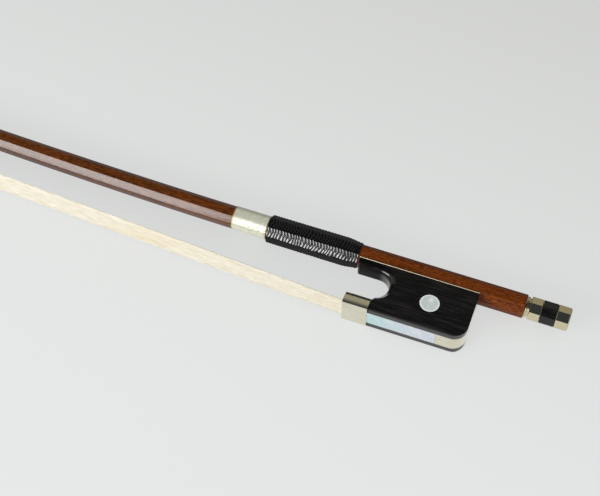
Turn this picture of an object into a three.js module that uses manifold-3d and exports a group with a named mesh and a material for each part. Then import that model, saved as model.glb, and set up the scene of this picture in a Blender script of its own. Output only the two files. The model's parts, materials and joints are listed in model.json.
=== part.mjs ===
// A cello bow. X runs along the handle towards the button, Y away from the hair, and Z out of
// the side that faces up when the bow lies on a table. The stick's end at the button is X = 0,
// and its axis there is Y = 0. All sizes are in millimetres.
import * as THREE from 'three';
import { mergeVertices, toCreasedNormals } from 'three/addons/utils/BufferGeometryUtils.js';
import Module from 'manifold-3d';

const wasm = await Module();
wasm.setup();

// Stick
const stickLength = 697;
const handleAcross = 9.5;
const neckAcross = 6.4;
const parallelLength = 72;
const straightLength = 115;
const camberEasing = 140;
const camberRise = 26.7;
const buttChamfer = 0.35;
const stickSteps = 24;

// Head
const headHeight = 23.2;
const headFaceLength = 26;
const headFaceWidth = 11;
const headNoseWidth = 4.6;
const headLean = 0.9;
const headCover = 6;
const headCoverEnd = 1;
const headPlateThickness = 1.4;
const headLinerThickness = 0.8;
const beakDrop = 1.1;
const beakLength = 9;
const headMortiseFromBack = 7.5;
const headMortiseLength = 8;
const headMortiseWidth = 7;
const headMortiseDepth = 8.6;
const headPlugThickness = 2.5;
const headPlugRecess = 1;

// Hair
const hairThickness = 1.1;
const hairThicknessAtHead = 0.8;
const hairThicknessInside = 0.7;
const hairWidthAtFerrule = 13.6;
const hairWidthAtHead = 10;
const hairWidthInFrog = 7.4;
const hairWidthInHead = 6.6;
const hairSpread = 2.9;
const hairRidges = 6;
const hairRidgeDepth = 0.07;
const hairSteps = 16;
const hairTurn = 1.5;
const knotDiameter = 3.4;
const knotLength = 6.6;
const knotBinding = 1.6;

// Winding and thumb leather
const windingLength = 16;
const wireDiameter = 0.3;
const windingLoops = 20;
const wireSides = 6;
const wireLift = 0.05;
const leatherLength = 41;
const leatherThickness = 1.05;
const leatherEdge = 0.5;
const leatherTaper = 7;
const leatherSkive = 0.45;
const leatherToFrog = 0.75;

// Frog
const frogLength = 52.45;
const frogFromButt = 19.3;
const frogDepth = 26.75;
const frogLip = 0.28;
const frogBelowFacet = 0.93;
const frogBottomWidth = 15.8;
const heelRadius = 6;
const bottomEdge = 0.45;
const thumbDrop = 6.9;
const thumbNoseRadius = 2;
const thumbEdgeRound = 3.2;
const throatBottomDrop = 18.8;
const throatDepth = 16;
const throatBevel = 2.1;
const throatBevelDepth = 3;
const cheekLength = 10;
const cheekWiden = 2;
const cheekRise = 10;
const cheekTop = 1.3;

// Ferrule, with the tongue and the wedge inside it
const ferruleLength = 10.9;
const ferruleLead = 0.1;
const ferruleWidth = 15.6;
const ferruleHeight = 8.2;
const ferruleWall = 0.7;
const tongueThickness = 2.3;
const tongueInset = 0.4;
const wedgeWidth = 10.6;
const wedgeInset = 0.6;

// Slide, heel plate and its pins
const slideWidth = 8.9;
const slideFlare = 0.5;
const pearlThickness = 0.75;
const backingThickness = 1.2;
const heelPlateThickness = 0.8;
const heelPlateFlat = 6;
const heelPlateTopDrop = 6;
const pinDiameter = 1;
const pinLength = 3;
const pinInset = 1.8;
const backPinSpacing = 11;

// Mortise in the frog
const mortiseFromBack = 22.7;
const mortiseLength = 8;
const mortiseWidth = 8;
const mortiseDepth = 10;
const frogPlugThickness = 2.2;

// Pearl eyes
const eyeDiameter = 8.35;
const eyeThickness = 1.2;
const eyeFromBack = 18.3;
const eyeDrop = 14.9;

// Underslide and its screws
const underslideThickness = 0.5;
const slideScrewHead = 3;
const slideScrewShank = 1.5;
const slideScrewLength = 3.6;
const slideScrewSlot = 0.4;
const slideScrewFromFront = 18.2;
const slideScrewFromBack = 6.7;

// Eyelet, its slot in the stick, and the adjusting screw
const eyeletFromBack = 25.7;
const eyeletLength = 5.5;
const eyeletWidth = 4;
const eyeletTop = 2.6;
const eyeletShank = 3.4;
const eyeletShankLength = 8;
const frogTravel = 6;
const slotSpare = 4;
const slotClearance = 0.3;
const screwDiameter = 3;
const screwReach = 96;
const screwTip = 1.2;
const boreSpare = 2.5;
const boreClearance = 0.2;

// Button
const buttonAcross = 9.7;
const collarDiameter = 8.9;
const collarLength = 0.9;
const grooveDiameter = 7.9;
const grooveLength = 0.7;
const frontRingEnd = 6.8;
const buttonCoreEnd = 13.2;
const buttonEnd = 18.9;
const buttonShoulder = 0.35;
const buttonCrown = 0.2;
const ringEdge = 0.18;
const spigotDiameter = 6.5;
const spigotLength = 3.6;
const screwInCore = 2.6;
const buttonTurn = THREE.MathUtils.degToRad(25);

// How round each ring of the leather and the button is, from an octagon at 0 to a circle at 1
const leatherRoundShares = [0.3, 0.45, 0.5, 0.4, 0.15];
const shoulderRoundShare = 0.5;
const crownRoundShare = 0.2;

// Clearances, and how far a cut runs past what it cuts
const glueGap = 0.05;
const headGap = 0.1;
const slideClearance = 0.1;
const runningClearance = 0.06;
const buttonClearance = 0.12;
const overrun = 1;

// Counts of straight steps on round shapes
const roundSides = 24;
const smallSides = 16;
const eyeSides = 40;
const curveSteps = 12;
const edgeSteps = 6;
const creaseAngle = THREE.MathUtils.degToRad(28);

// Angles of an octagon
const eighth = Math.PI / 4;
const cornerAngle = Math.PI / 8;

// Places that several pieces share
const frogBack = -frogFromButt;
const frogFront = frogBack - frogLength;
const ferruleFront = frogFront - ferruleLead;
const ferruleBack = ferruleFront + ferruleLength;
const heelX = frogBack - heelRadius;
const heelY = -frogDepth + heelRadius;
const slideFront = ferruleBack + glueGap;
const slideBack = heelX - heelPlateFlat;
const leatherEnd = frogFront - leatherToFrog;
const leatherStart = leatherEnd - leatherLength;
const windingEnd = leatherStart - glueGap;
const windingStart = windingEnd - windingLength;
const eyeletX = frogBack - eyeletFromBack;
const eyeletBaseY = -handleAcross / 2;
const channelInner = handleAcross / 2 + slideClearance;
const channelOuter = channelInner + underslideThickness;
const channelWall = channelOuter + glueGap;
const frogTopY = -(handleAcross / 2) * Math.tan(cornerAngle) - frogBelowFacet;
const frogTopHalf = channelWall * Math.SQRT2 + frogTopY + frogLip;
const sideSlope = (frogBottomWidth / 2 - frogTopHalf) / (frogDepth + frogTopY);
const slideInnerY = -frogDepth + pearlThickness + glueGap + backingThickness;
const hairInsideY = slideInnerY + glueGap + hairThicknessInside / 2;
const hairBedY = hairInsideY + hairThicknessInside / 2 + glueGap;
const hairExitY = -frogDepth + ferruleWall + glueGap + hairThickness / 2;
const tongueTopY = -frogDepth + ferruleHeight - ferruleWall - glueGap;
const tongueBottomY = tongueTopY - tongueThickness;
const mortiseBack = frogBack - mortiseFromBack;
const mortiseFront = mortiseBack - mortiseLength;
const mortiseTopY = -frogDepth + mortiseDepth;
const throatRadius = (throatBottomDrop - thumbDrop) / 2;
const throatX = frogFront + throatDepth - throatRadius;
const throatY = -(throatBottomDrop + thumbDrop) / 2;
const bottomPins = [slideBack + pinInset, heelX];
const backPins = [-heelPlateTopDrop - pinInset, -heelPlateTopDrop - pinInset - backPinSpacing];
const slideScrews = [frogFront + slideScrewFromFront, frogBack - slideScrewFromBack];

function finish(color, roughness, metalness) {
  return new THREE.MeshStandardMaterial({ color, roughness, metalness });
}

const finishes = {
  stick: finish(0x6b3212, 0.38, 0),
  ebony: finish(0x1b1918, 0.4, 0),
  bone: finish(0xeee8da, 0.45, 0),
  hair: finish(0xeee5cf, 0.6, 0),
  waxedHair: finish(0xcdb98f, 0.7, 0),
  maple: finish(0xc9a878, 0.7, 0),
  silver: finish(0xd2cdb6, 0.3, 1),
  leather: finish(0x17171a, 0.5, 0),
  pearl: finish(0xc9d6dd, 0.25, 0),
  brass: finish(0xb98f4a, 0.4, 1),
  steel: finish(0x8c8c8f, 0.35, 1),
};

// Solids and meshes
function solidOf(geometry) {
  geometry.deleteAttribute('normal');
  geometry.deleteAttribute('uv');
  const merged = mergeVertices(geometry);
  return new wasm.Manifold(new wasm.Mesh({
    numProp: 3,
    vertProperties: new Float32Array(merged.attributes.position.array),
    triVerts: new Uint32Array(merged.index.array),
  }));
}

function geometryOf(solid) {
  const mesh = solid.getMesh();
  const geometry = new THREE.BufferGeometry();
  const positions = new THREE.BufferAttribute(new Float32Array(mesh.vertProperties), 3);
  geometry.setAttribute('position', positions);
  geometry.setIndex(new THREE.BufferAttribute(new Uint32Array(mesh.triVerts), 1));
  return toCreasedNormals(geometry, creaseAngle);
}

function cut(body, ...tools) {
  return tools.reduce((rest, tool) => rest.subtract(tool), body);
}

function join(body, ...others) {
  return others.reduce((sum, other) => sum.add(other), body);
}

function common(body, ...others) {
  return others.reduce((shared, other) => shared.intersect(other), body);
}

const bow = new THREE.Group();

function addPiece(name, solid, material) {
  const mesh = new THREE.Mesh(geometryOf(solid), material.clone());
  mesh.name = name;
  bow.add(mesh);
}

// Basic shapes, all even about Z = 0
function block(x0, x1, y0, y1, width) {
  const geometry = new THREE.BoxGeometry(x1 - x0, y1 - y0, width);
  geometry.translate((x0 + x1) / 2, (y0 + y1) / 2, 0);
  return solidOf(geometry);
}

// An outline of [x, y] points, extruded across the bow
function plateAcross(outline, width) {
  const shape = new THREE.Shape(outline.map(([x, y]) => new THREE.Vector2(x, y)));
  const geometry = new THREE.ExtrudeGeometry(shape, { depth: width, bevelEnabled: false });
  geometry.translate(0, 0, -width / 2);
  return solidOf(geometry);
}

// A section of [z, y] points, extruded along the bow
function barAlong(section, x0, x1) {
  const shape = new THREE.Shape(section.map(([z, y]) => new THREE.Vector2(-z, y)));
  const geometry = new THREE.ExtrudeGeometry(shape, { depth: x1 - x0, bevelEnabled: false });
  geometry.rotateY(Math.PI / 2);
  geometry.translate(x0, 0, 0);
  return solidOf(geometry);
}

function rodAlongX(radius, x0, x1, y = 0) {
  const geometry = new THREE.CylinderGeometry(radius, radius, x1 - x0, smallSides);
  geometry.rotateZ(Math.PI / 2);
  geometry.translate((x0 + x1) / 2, y, 0);
  return solidOf(geometry);
}

// A rod or a cone that stands on x, from y0 with one radius to y1 with the other
function rodAlongY(radius0, radius1, x, y0, y1) {
  const geometry = new THREE.CylinderGeometry(radius1, radius0, y1 - y0, smallSides);
  geometry.translate(x, (y0 + y1) / 2, 0);
  return solidOf(geometry);
}

function rodAcross(radius, x, y, width) {
  const geometry = new THREE.CylinderGeometry(radius, radius, width, smallSides);
  geometry.rotateX(Math.PI / 2);
  geometry.translate(x, y, 0);
  return solidOf(geometry);
}

// The radius of a hole with straight steps that clears a rod all round
function holeRadius(radius, clearance) {
  return (radius + clearance) / Math.cos(Math.PI / smallSides);
}

function fan(count) {
  return Array.from({ length: count - 2 }, (_, k) => [0, k + 1, k + 2]);
}

// Rings of equally many points, joined in order, with the caps' triangles over each end
function loft(rings, caps = fan(rings[0].length)) {
  const count = rings[0].length;
  const last = (rings.length - 1) * count;
  const index = [];
  for (let base = 0; base < last; base += count) {
    for (let k = 0; k < count; k += 1) {
      const next = (k + 1) % count;
      index.push(base + k, base + next, base + count + next);
      index.push(base + k, base + count + next, base + count + k);
    }
  }
  caps.forEach(([a, b, c]) => index.push(a, c, b, last + a, last + b, last + c));
  const geometry = new THREE.BufferGeometry().setFromPoints(rings.flat());
  geometry.setIndex(index);
  return solidOf(geometry);
}

// Distance from the middle to an octagon's edge, with flats up, down and to both sides
function octagonReach(angle, apothem) {
  return apothem / Math.cos(angle - eighth * Math.round(angle / eighth));
}

// A ring about the X axis, an octagon at round share 0 and a circle at round share 1
function collarRing(x, apothem, roundShare, turn) {
  return Array.from({ length: roundSides }, (_, k) => {
    const angle = (k / roundSides) * 2 * Math.PI + cornerAngle;
    const reach = THREE.MathUtils.lerp(octagonReach(angle, apothem), apothem, roundShare);
    return new THREE.Vector3(
      x,
      reach * Math.cos(angle + turn),
      reach * Math.sin(angle + turn),
    );
  });
}

// Rows of [x, apothem, round share], from the head's side to the button's
function collar(rows, turn = 0) {
  return loft(rows.map(([x, apothem, roundShare]) => collarRing(x, apothem, roundShare, turn)));
}

function octagonSection(across) {
  const corner = across / 2 / Math.cos(cornerAngle);
  return Array.from({ length: 8 }, (_, k) => {
    const angle = k * eighth + cornerAngle;
    return [corner * Math.cos(angle), corner * Math.sin(angle)];
  });
}

// Carries sections of [z, rise] points along a path of [x, y] points that runs to the head
function sweep(path, sections) {
  return loft(path.map(([x, y], i) => {
    const [xa, ya] = path[Math.max(i - 1, 0)];
    const [xb, yb] = path[Math.min(i + 1, path.length - 1)];
    const along = new THREE.Vector3(xb - xa, yb - ya, 0).normalize();
    const up = new THREE.Vector3(along.y, -along.x, 0);
    return sections[i].map(([z, rise]) => (
      new THREE.Vector3(x, y, z).addScaledVector(up, rise)
    ));
  }));
}

function curvePoints(start, pull, end) {
  const ends = [start, pull, end].map(([x, y]) => new THREE.Vector2(x, y));
  const curve = new THREE.QuadraticBezierCurve(...ends);
  return curve.getPoints(curveSteps).map((point) => [point.x, point.y]);
}

function arcPoints(x, y, radius, from, to) {
  return Array.from({ length: curveSteps + 1 }, (_, k) => {
    const angle = THREE.MathUtils.lerp(from, to, k / curveSteps);
    return [x + radius * Math.cos(angle), y + radius * Math.sin(angle)];
  });
}

// The stick's thickness and the rise of its axis, at a distance from the button end
const neckAt = stickLength - headFaceLength - headLean;

function acrossAt(distance) {
  const share = Math.max(distance - parallelLength, 0) / (neckAt - parallelLength);
  return handleAcross - (handleAcross - neckAcross) * share;
}

// The bend eases in from the winding on, and the stick nears its full slope at the head
function bend(distance) {
  const past = Math.max(distance - straightLength, 0);
  return past - camberEasing * (1 - Math.exp(-past / camberEasing));
}

function axisRise(distance) {
  return (camberRise * bend(distance)) / bend(neckAt);
}

// On the head, S runs to the tip along the hair and H away from the hair, from the plate's heel
const headX = -neckAt;
const headY = camberRise + neckAcross / 2 - headHeight;
const hairSlope = (headY - hairExitY) / (ferruleFront - headX);
const headAngle = Math.atan(hairSlope);

function fromHead([s, h]) {
  return [
    headX - s * Math.cos(headAngle) + h * Math.sin(headAngle),
    headY + s * Math.sin(headAngle) + h * Math.cos(headAngle),
  ];
}

function placeOnHead(solid) {
  const place = new THREE.Matrix4().makeBasis(
    new THREE.Vector3(-Math.cos(headAngle), Math.sin(headAngle), 0),
    new THREE.Vector3(Math.sin(headAngle), Math.cos(headAngle), 0),
    new THREE.Vector3(0, 0, -1),
  );
  place.setPosition(headX, headY, 0);
  return solid.transform(place.elements);
}

// The head's side view, as shares of the plate's length and of the head's height
const backShares = [[-0.035, 0.42], [-0.03, 0.72], [-0.56, 0.74]];
const crownShares = [[-0.5, 0.985], [0.2, 1.06], [0.5, 0.7]];
const frontShares = [[0.5, 0.7], [0.72, 0.37], [1, 0.085]];
const neckInsideShare = 0.87;
const neckEndShare = 0.8;
const cheekMiddleShare = 0.46;
const browShare = 0.6;

function headOutline() {
  const onHead = ([along, up]) => [along * headFaceLength, up * headHeight];
  const below = -beakDrop - overrun;
  return [
    [0, below],
    [headFaceLength, below],
    ...curvePoints(...frontShares.map(onHead)).reverse(),
    ...curvePoints(...crownShares.map(onHead)).reverse().slice(1),
    onHead([crownShares[0][0], neckInsideShare]),
    onHead([backShares[2][0], neckInsideShare]),
    ...curvePoints(...backShares.map(onHead)).reverse(),
  ];
}

// Moves the outline inwards, by the neck's own bevel at the top and by nothing at the face
function bevelledOutline(outline) {
  const bevel = (neckAcross / 2) * (1 - Math.tan(cornerAngle));
  return outline.map(([x, y], i) => {
    const before = outline.at(i - 1);
    const after = outline[(i + 1) % outline.length];
    const along = new THREE.Vector2(after[0] - before[0], after[1] - before[1]).normalize();
    const inset = bevel * THREE.MathUtils.smoothstep(y, headPlateThickness, headHeight / 2);
    return [x - along.y * inset, y + along.x * inset];
  });
}

// Flat cheeks, each through three points of [S share, H share, half width]
const faceHalf = headFaceWidth / 2;
const neckHalf = neckAcross / 2;
const cheekPlanes = [
  [[0, 0, faceHalf], [-0.58, 0.73, neckHalf], [0.2, 1, neckHalf]],
  [[0.23, 0, faceHalf], [0.62, 0, headFaceWidth * cheekMiddleShare], [0.23, 1, neckHalf]],
  [[0.45, 0, faceHalf], [1, 0, headNoseWidth / 2], [0.45, 1, neckAcross * browShare]],
];

// The head between two opposite cheeks, with its top and back edges bevelled
function headBetween(cheek) {
  const corners = cheek.map(([along, up, half]) => (
    new THREE.Vector3(along * headFaceLength, up * headHeight, half)
  ));
  const plane = new THREE.Plane().setFromCoplanarPoints(...corners);
  const halfAt = (s, h) => (
    -(plane.normal.x * s + plane.normal.y * h + plane.constant) / plane.normal.z
  );
  const outer = headOutline();
  const inner = bevelledOutline(outer);
  const flat = Math.tan(cornerAngle);
  const ring = (outline, share) => (
    outline.map(([s, h]) => new THREE.Vector3(s, h, share * halfAt(s, h)))
  );
  const contour = inner.map(([s, h]) => new THREE.Vector2(s, h));
  const caps = THREE.ShapeUtils.triangulateShape(contour, []);
  return loft([ring(inner, -1), ring(outer, -flat), ring(outer, flat), ring(inner, 1)], caps);
}

// The band of the head between two heights over its face, which drops at the beak
function headBand(low, high) {
  const start = headFaceLength - beakLength;
  const drops = Array.from({ length: curveSteps + 1 }, (_, k) => {
    const share = k / curveSteps;
    return [start + beakLength * share, -beakDrop * share * share];
  });
  const face = [[-headFaceLength, 0], ...drops, [headFaceLength + overrun, -beakDrop]];
  const lowEdge = face.map(([s, h]) => [s, h + low]);
  const highEdge = face.map(([s, h]) => [s, h + high]);
  return plateAcross([...lowEdge, ...highEdge.reverse()], headFaceWidth + overrun);
}

const headBlank = common(...cheekPlanes.map(headBetween));
const linerBase = headPlateThickness + headGap;
const headWoodBase = linerBase + headLinerThickness + headGap;
const headMortiseEnd = headMortiseFromBack + headMortiseLength;
const headMortise = block(
  headMortiseFromBack,
  headMortiseEnd,
  -beakDrop - overrun,
  headMortiseDepth,
  headMortiseWidth,
);

function stickSolid() {
  const stops = Array.from({ length: stickSteps + 1 }, (_, k) => (
    THREE.MathUtils.lerp(straightLength, neckAt - headCover, k / stickSteps)
  ));
  const distances = [0, buttChamfer, parallelLength, ...stops];
  const path = distances.map((distance) => [-distance, axisRise(distance)]);
  const sections = distances.map((distance) => octagonSection(acrossAt(distance)));
  sections[0] = octagonSection(handleAcross - 2 * buttChamfer);
  const inHead = neckAt - headCoverEnd;
  path.push([-inHead, axisRise(inHead)]);
  sections.push(octagonSection(neckAcross * neckEndShare));
  const head = cut(headBlank, headBand(-headHeight, headWoodBase), headMortise);
  const boreRadius = holeRadius(screwDiameter / 2, boreClearance);
  const bore = rodAlongX(boreRadius, -screwReach - boreSpare, overrun);
  const slot = block(
    eyeletX - eyeletLength / 2 - slotSpare,
    eyeletX + eyeletLength / 2 + frogTravel + slotSpare,
    -handleAcross,
    eyeletTop + slotClearance,
    eyeletWidth + 2 * slotClearance,
  );
  return cut(join(sweep(path, sections), placeOnHead(head)), bore, slot);
}

function addStick() {
  addPiece('stick', stickSolid(), finishes.stick);
  const linerTop = linerBase + headLinerThickness;
  const liner = cut(common(headBlank, headBand(linerBase, linerTop)), headMortise);
  addPiece('head_liner', placeOnHead(liner), finishes.ebony);
  const plate = cut(common(headBlank, headBand(0, headPlateThickness)), headMortise);
  addPiece('head_plate', placeOnHead(plate), finishes.bone);
  const plug = block(
    headMortiseFromBack + headGap,
    headMortiseEnd - hairTurn,
    headPlugRecess,
    headPlugRecess + headPlugThickness,
    headMortiseWidth - 2 * headGap,
  );
  addPiece('head_plug', placeOnHead(plug), finishes.maple);
}

// A tied bundle that lies across the bow
function knot(x, y) {
  const radius = knotDiameter / 2;
  return join(
    rodAcross(radius - glueGap, x, y, knotLength),
    rodAcross(radius, x, y, knotBinding),
  );
}

// The ribbon's section, ridged on both faces and thin at its edges
function hairSection(width, thickness) {
  const faceSteps = 2 * hairRidges;
  const face = Array.from({ length: faceSteps + 1 }, (_, k) => {
    const across = 1 - (2 * k) / faceSteps;
    const ridge = k % 2 === 0 ? 0 : hairRidgeDepth;
    const fall = Math.sqrt(1 - across ** 6);
    return [(across * width) / 2, Math.max(fall * (thickness / 2) - ridge * fall, 0)];
  });
  const under = face.slice(1, -1).reverse().map(([z, rise]) => [z, -rise]);
  return [...face, ...under];
}

// Stations of [x, y, width, thickness], from the frog's knot to the head's knot
function hairStations() {
  const tailX = mortiseBack - hairTurn / 2;
  const knotInFrogY = mortiseTopY - glueGap - knotDiameter;
  const inside = [hairWidthInFrog, hairThicknessInside];
  const inFrog = [
    [tailX, knotInFrogY - glueGap, ...inside],
    [tailX, hairInsideY + hairThicknessInside, ...inside],
    [tailX - hairThicknessInside / 4, hairInsideY + hairThicknessInside / 4, ...inside],
    [tailX - hairThicknessInside, hairInsideY, ...inside],
    [slideFront, hairInsideY, ...inside],
    [ferruleFront + wedgeInset, hairExitY, hairWidthAtFerrule - hairThickness, hairThickness],
  ];
  const run = Array.from({ length: hairSteps + 1 }, (_, k) => {
    const share = k / hairSteps;
    const width = THREE.MathUtils.lerp(hairWidthAtFerrule, hairWidthAtHead, share);
    return [
      THREE.MathUtils.lerp(ferruleFront, headX, share),
      THREE.MathUtils.lerp(hairExitY, headY - hairThicknessAtHead / 2 - headGap, share),
      width + hairSpread * Math.sin(Math.PI * share),
      THREE.MathUtils.lerp(hairThickness, hairThicknessAtHead, share),
    ];
  });
  const tailS = headMortiseEnd - hairTurn / 2;
  const knotInHeadH = headMortiseDepth - headGap - knotDiameter;
  const inHead = [
    [headMortiseFromBack + headGap, -hairThicknessAtHead / 2 - headGap],
    [headMortiseFromBack + hairTurn, 0],
    [tailS - hairThicknessAtHead, hairThicknessAtHead / 3],
    [tailS - hairThicknessAtHead / 4, hairThicknessAtHead * 0.6],
    [tailS, hairThicknessAtHead + headGap],
    [tailS, knotInHeadH - headGap],
  ].map((place) => [...fromHead(place), hairWidthInHead, hairThicknessAtHead]);
  return [...inFrog, ...run, ...inHead];
}

function addHair() {
  const stations = hairStations();
  const path = stations.map(([x, y]) => [x, y]);
  const sections = stations.map(([, , width, thickness]) => hairSection(width, thickness));
  addPiece('hair_ribbon', sweep(path, sections), finishes.hair);
  const radius = knotDiameter / 2;
  const headKnot = knot(headMortiseEnd - headGap - radius, headMortiseDepth - headGap - radius);
  addPiece('head_knot', placeOnHead(headKnot), finishes.waxedHair);
  const frogKnot = knot(mortiseBack - glueGap - radius, mortiseTopY - glueGap - radius);
  addPiece('frog_knot', frogKnot, finishes.waxedHair);
}

// The wire's middle line: it follows the stick's facets, and its ends run on straight
function wirePath() {
  const pitch = (windingLength - wireDiameter) / windingLoops;
  const turns = Array.from({ length: windingLoops * roundSides + 1 }, (_, k) => {
    const angle = ((k + 1) / roundSides) * 2 * Math.PI + cornerAngle;
    const x = windingStart + wireDiameter / 2 + (pitch * k) / roundSides;
    const reach = octagonReach(angle, acrossAt(-x) / 2 + wireLift + wireDiameter / 2);
    return new THREE.Vector3(x, axisRise(-x) + reach * Math.cos(angle), reach * Math.sin(angle));
  });
  const runOn = (end, before) => (
    end.clone().add(end.clone().sub(before).setX(0).setLength(wireDiameter))
  );
  return [
    runOn(turns[0], turns[1]),
    ...turns,
    runOn(turns.at(-1), turns.at(-2)),
  ];
}

function leastGap(path) {
  let least = Infinity;
  for (let i = 0; i < path.length; i += 1) {
    for (let j = i + roundSides / 2; j < path.length; j += 1) {
      least = Math.min(least, path[i].distanceTo(path[j]));
    }
  }
  return least - wireDiameter;
}

function addWinding() {
  const path = wirePath();
  const rings = path.map((point, i) => {
    const after = path[Math.min(i + 1, path.length - 1)];
    const along = after.clone().sub(path[Math.max(i - 1, 0)]).normalize();
    const out = new THREE.Vector3(0, point.y - axisRise(-point.x), point.z);
    out.addScaledVector(along, -out.dot(along)).normalize();
    const side = along.clone().cross(out);
    return Array.from({ length: wireSides }, (_, k) => {
      const angle = (k / wireSides) * 2 * Math.PI;
      const offset = out.clone().multiplyScalar(Math.cos(angle));
      offset.addScaledVector(side, Math.sin(angle));
      return point.clone().addScaledVector(offset, wireDiameter / 2);
    });
  });
  addPiece('winding', loft(rings), finishes.silver);
  console.log(`winding: least gap between its turns ${leastGap(path).toFixed(2)} mm`);
}

function addLeather() {
  const under = (x) => acrossAt(-x) / 2 + glueGap;
  const outer = collar([
    [leatherStart, under(leatherStart) + leatherEdge],
    [leatherStart + leatherEdge, under(leatherStart) + leatherThickness],
    [leatherEnd - leatherTaper, under(leatherEnd) + leatherThickness],
    [leatherEnd - leatherTaper / 2, under(leatherEnd) + leatherThickness - leatherSkive / 2],
    [leatherEnd, under(leatherEnd) + leatherSkive],
  ].map(([x, apothem], k) => [x, apothem, leatherRoundShares[k]]));
  const inner = collar([
    [leatherStart - overrun, under(leatherStart), 0],
    [leatherEnd + overrun, under(leatherEnd), 0],
  ]);
  addPiece('thumb_leather', cut(outer, inner), finishes.leather);
}

// The frog's side view, with the throat cut back from the front
function frogOutline() {
  return [
    [frogFront, frogTopY],
    ...arcPoints(
      frogFront + thumbNoseRadius,
      -thumbDrop + thumbNoseRadius,
      thumbNoseRadius,
      Math.PI,
      Math.PI * 1.5,
    ),
    ...arcPoints(throatX, throatY, throatRadius, Math.PI / 2, -Math.PI / 2),
    [frogFront, -throatBottomDrop],
    [frogFront, -frogDepth],
    ...arcPoints(heelX, heelY, heelRadius, -Math.PI / 2, 0),
    [frogBack, frogTopY],
  ];
}

function sideHalf(y) {
  return frogTopHalf + sideSlope * (frogTopY - y);
}

function frogSection() {
  const edgeHalf = sideHalf(-frogDepth + bottomEdge);
  return [
    [-frogTopHalf, frogTopY],
    [-edgeHalf, -frogDepth + bottomEdge],
    [-edgeHalf + bottomEdge, -frogDepth],
    [edgeHalf - bottomEdge, -frogDepth],
    [edgeHalf, -frogDepth + bottomEdge],
    [frogTopHalf, frogTopY],
  ];
}

// What the throat's edge loses to one side: a round one under the thumb, a bevel at the back
function throatEdge(side) {
  const ring = (share, spare) => {
    const turn = (share * Math.PI) / 2;
    const lose = (x, y, angle) => {
      const round = Math.max(Math.sin(angle), 0);
      const deep = THREE.MathUtils.lerp(throatBevelDepth, thumbEdgeRound, round);
      const wide = THREE.MathUtils.lerp(throatBevel, thumbEdgeRound, round);
      const inwards = deep * THREE.MathUtils.lerp(share, 1 - Math.cos(turn), round);
      const outwards = wide * THREE.MathUtils.lerp(1 - share, 1 - Math.sin(turn), round);
      const lostY = y + outwards * Math.sin(angle);
      const z = side * (sideHalf(lostY) - inwards + spare);
      return new THREE.Vector3(x + outwards * Math.cos(angle), lostY, z);
    };
    const front = frogFront - overrun;
    const half = Math.PI / 2;
    const angles = arcPoints(0, 0, 1, half, -half).map(([x, y]) => Math.atan2(y, x));
    return [
      lose(front, throatY + throatRadius, half),
      ...angles.map((angle) => lose(
        throatX + throatRadius * Math.cos(angle),
        throatY + throatRadius * Math.sin(angle),
        angle,
      )),
      lose(front, throatY - throatRadius, -half),
    ];
  };
  const shares = Array.from({ length: edgeSteps + 1 }, (_, k) => k / edgeSteps);
  const rings = [ring(0, overrun), ...shares.map((share) => ring(share, 0))];
  return loft(side > 0 ? rings : rings.reverse());
}

// A flat-bottomed arch of [z, y] points, round at power 2 and squarer above that
function archSection(half, height, base, power) {
  const steps = 2 * curveSteps;
  return Array.from({ length: steps + 1 }, (_, k) => {
    const angle = (k / steps) * Math.PI;
    const across = Math.abs(Math.cos(angle)) ** (2 / power);
    const up = Math.abs(Math.sin(angle)) ** (2 / power);
    return [Math.sign(Math.cos(angle)) * half * across, base + height * up];
  });
}

// What the ebony loses behind the ferrule, where its arch grows into the frog's flat sides
function cheekCuts() {
  const archRing = (x, share) => {
    const half = ferruleWidth / 2 + cheekWiden * share;
    const arch = archSection(half, ferruleHeight + cheekRise * share, -frogDepth, 2 + 3 * share);
    const foot = -frogDepth - 2 * overrun;
    return [...arch, [-half, foot], [half, foot]].map(([z, y]) => new THREE.Vector3(x, y, z));
  };
  const cheekBack = slideFront + cheekLength;
  const arch = loft([
    archRing(cheekBack, 1),
    archRing(slideFront, 0),
    archRing(slideFront - overrun, 0),
  ]);
  const zone = block(
    slideFront - overrun / 2,
    cheekBack - overrun,
    -frogDepth - overrun,
    -throatBottomDrop + cheekTop,
    frogBottomWidth + 2 * overrun,
  );
  return cut(zone, arch);
}

function channelSection(apothem, top) {
  const shoulder = apothem * Math.SQRT2 + top;
  const corner = apothem * Math.tan(cornerAngle);
  return [[-shoulder, top], [-corner, -apothem], [corner, -apothem], [shoulder, top]];
}

// Across the slide at two heights, with its dovetailed edges and this much more to each side
function slideSection(y0, y1, grow) {
  const flare = slideFlare / (slideInnerY + frogDepth);
  const half = (y) => slideWidth / 2 + flare * (y + frogDepth) + grow;
  return [[-half(y0), y0], [half(y0), y0], [half(y1), y1], [-half(y1), y1]];
}

// The heel plate's path between two depths below the frog's bottom and back
function heelBand(outerDepth, innerDepth, topY) {
  const outer = heelRadius - outerDepth;
  const inner = heelRadius - innerDepth;
  return [
    [slideBack + glueGap, heelY - outer],
    ...arcPoints(heelX, heelY, outer, -Math.PI / 2, 0),
    [heelX + outer, topY],
    [heelX + inner, topY],
    ...arcPoints(heelX, heelY, inner, 0, -Math.PI / 2),
    [slideBack + glueGap, heelY - inner],
  ];
}

function heelPinRods(radius, start, length) {
  return [
    ...bottomPins.map((x) => rodAlongY(radius, radius, x, -frogDepth + start, -frogDepth + length)),
    ...backPins.map((y) => rodAlongX(radius, frogBack - length, frogBack - start, y)),
  ];
}

// A countersunk screw that stands in the underslide, with this much more all round
function slideScrew(x, grow) {
  const top = -channelInner - glueGap;
  const head = slideScrewHead / 2 + grow;
  const shank = slideScrewShank / 2 + grow;
  const bottom = top - slideScrewLength - grow;
  return join(
    rodAlongY(shank, shank, x, bottom, top),
    rodAlongY(shank, head, x, top - (head - shank), top),
  );
}

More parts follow.
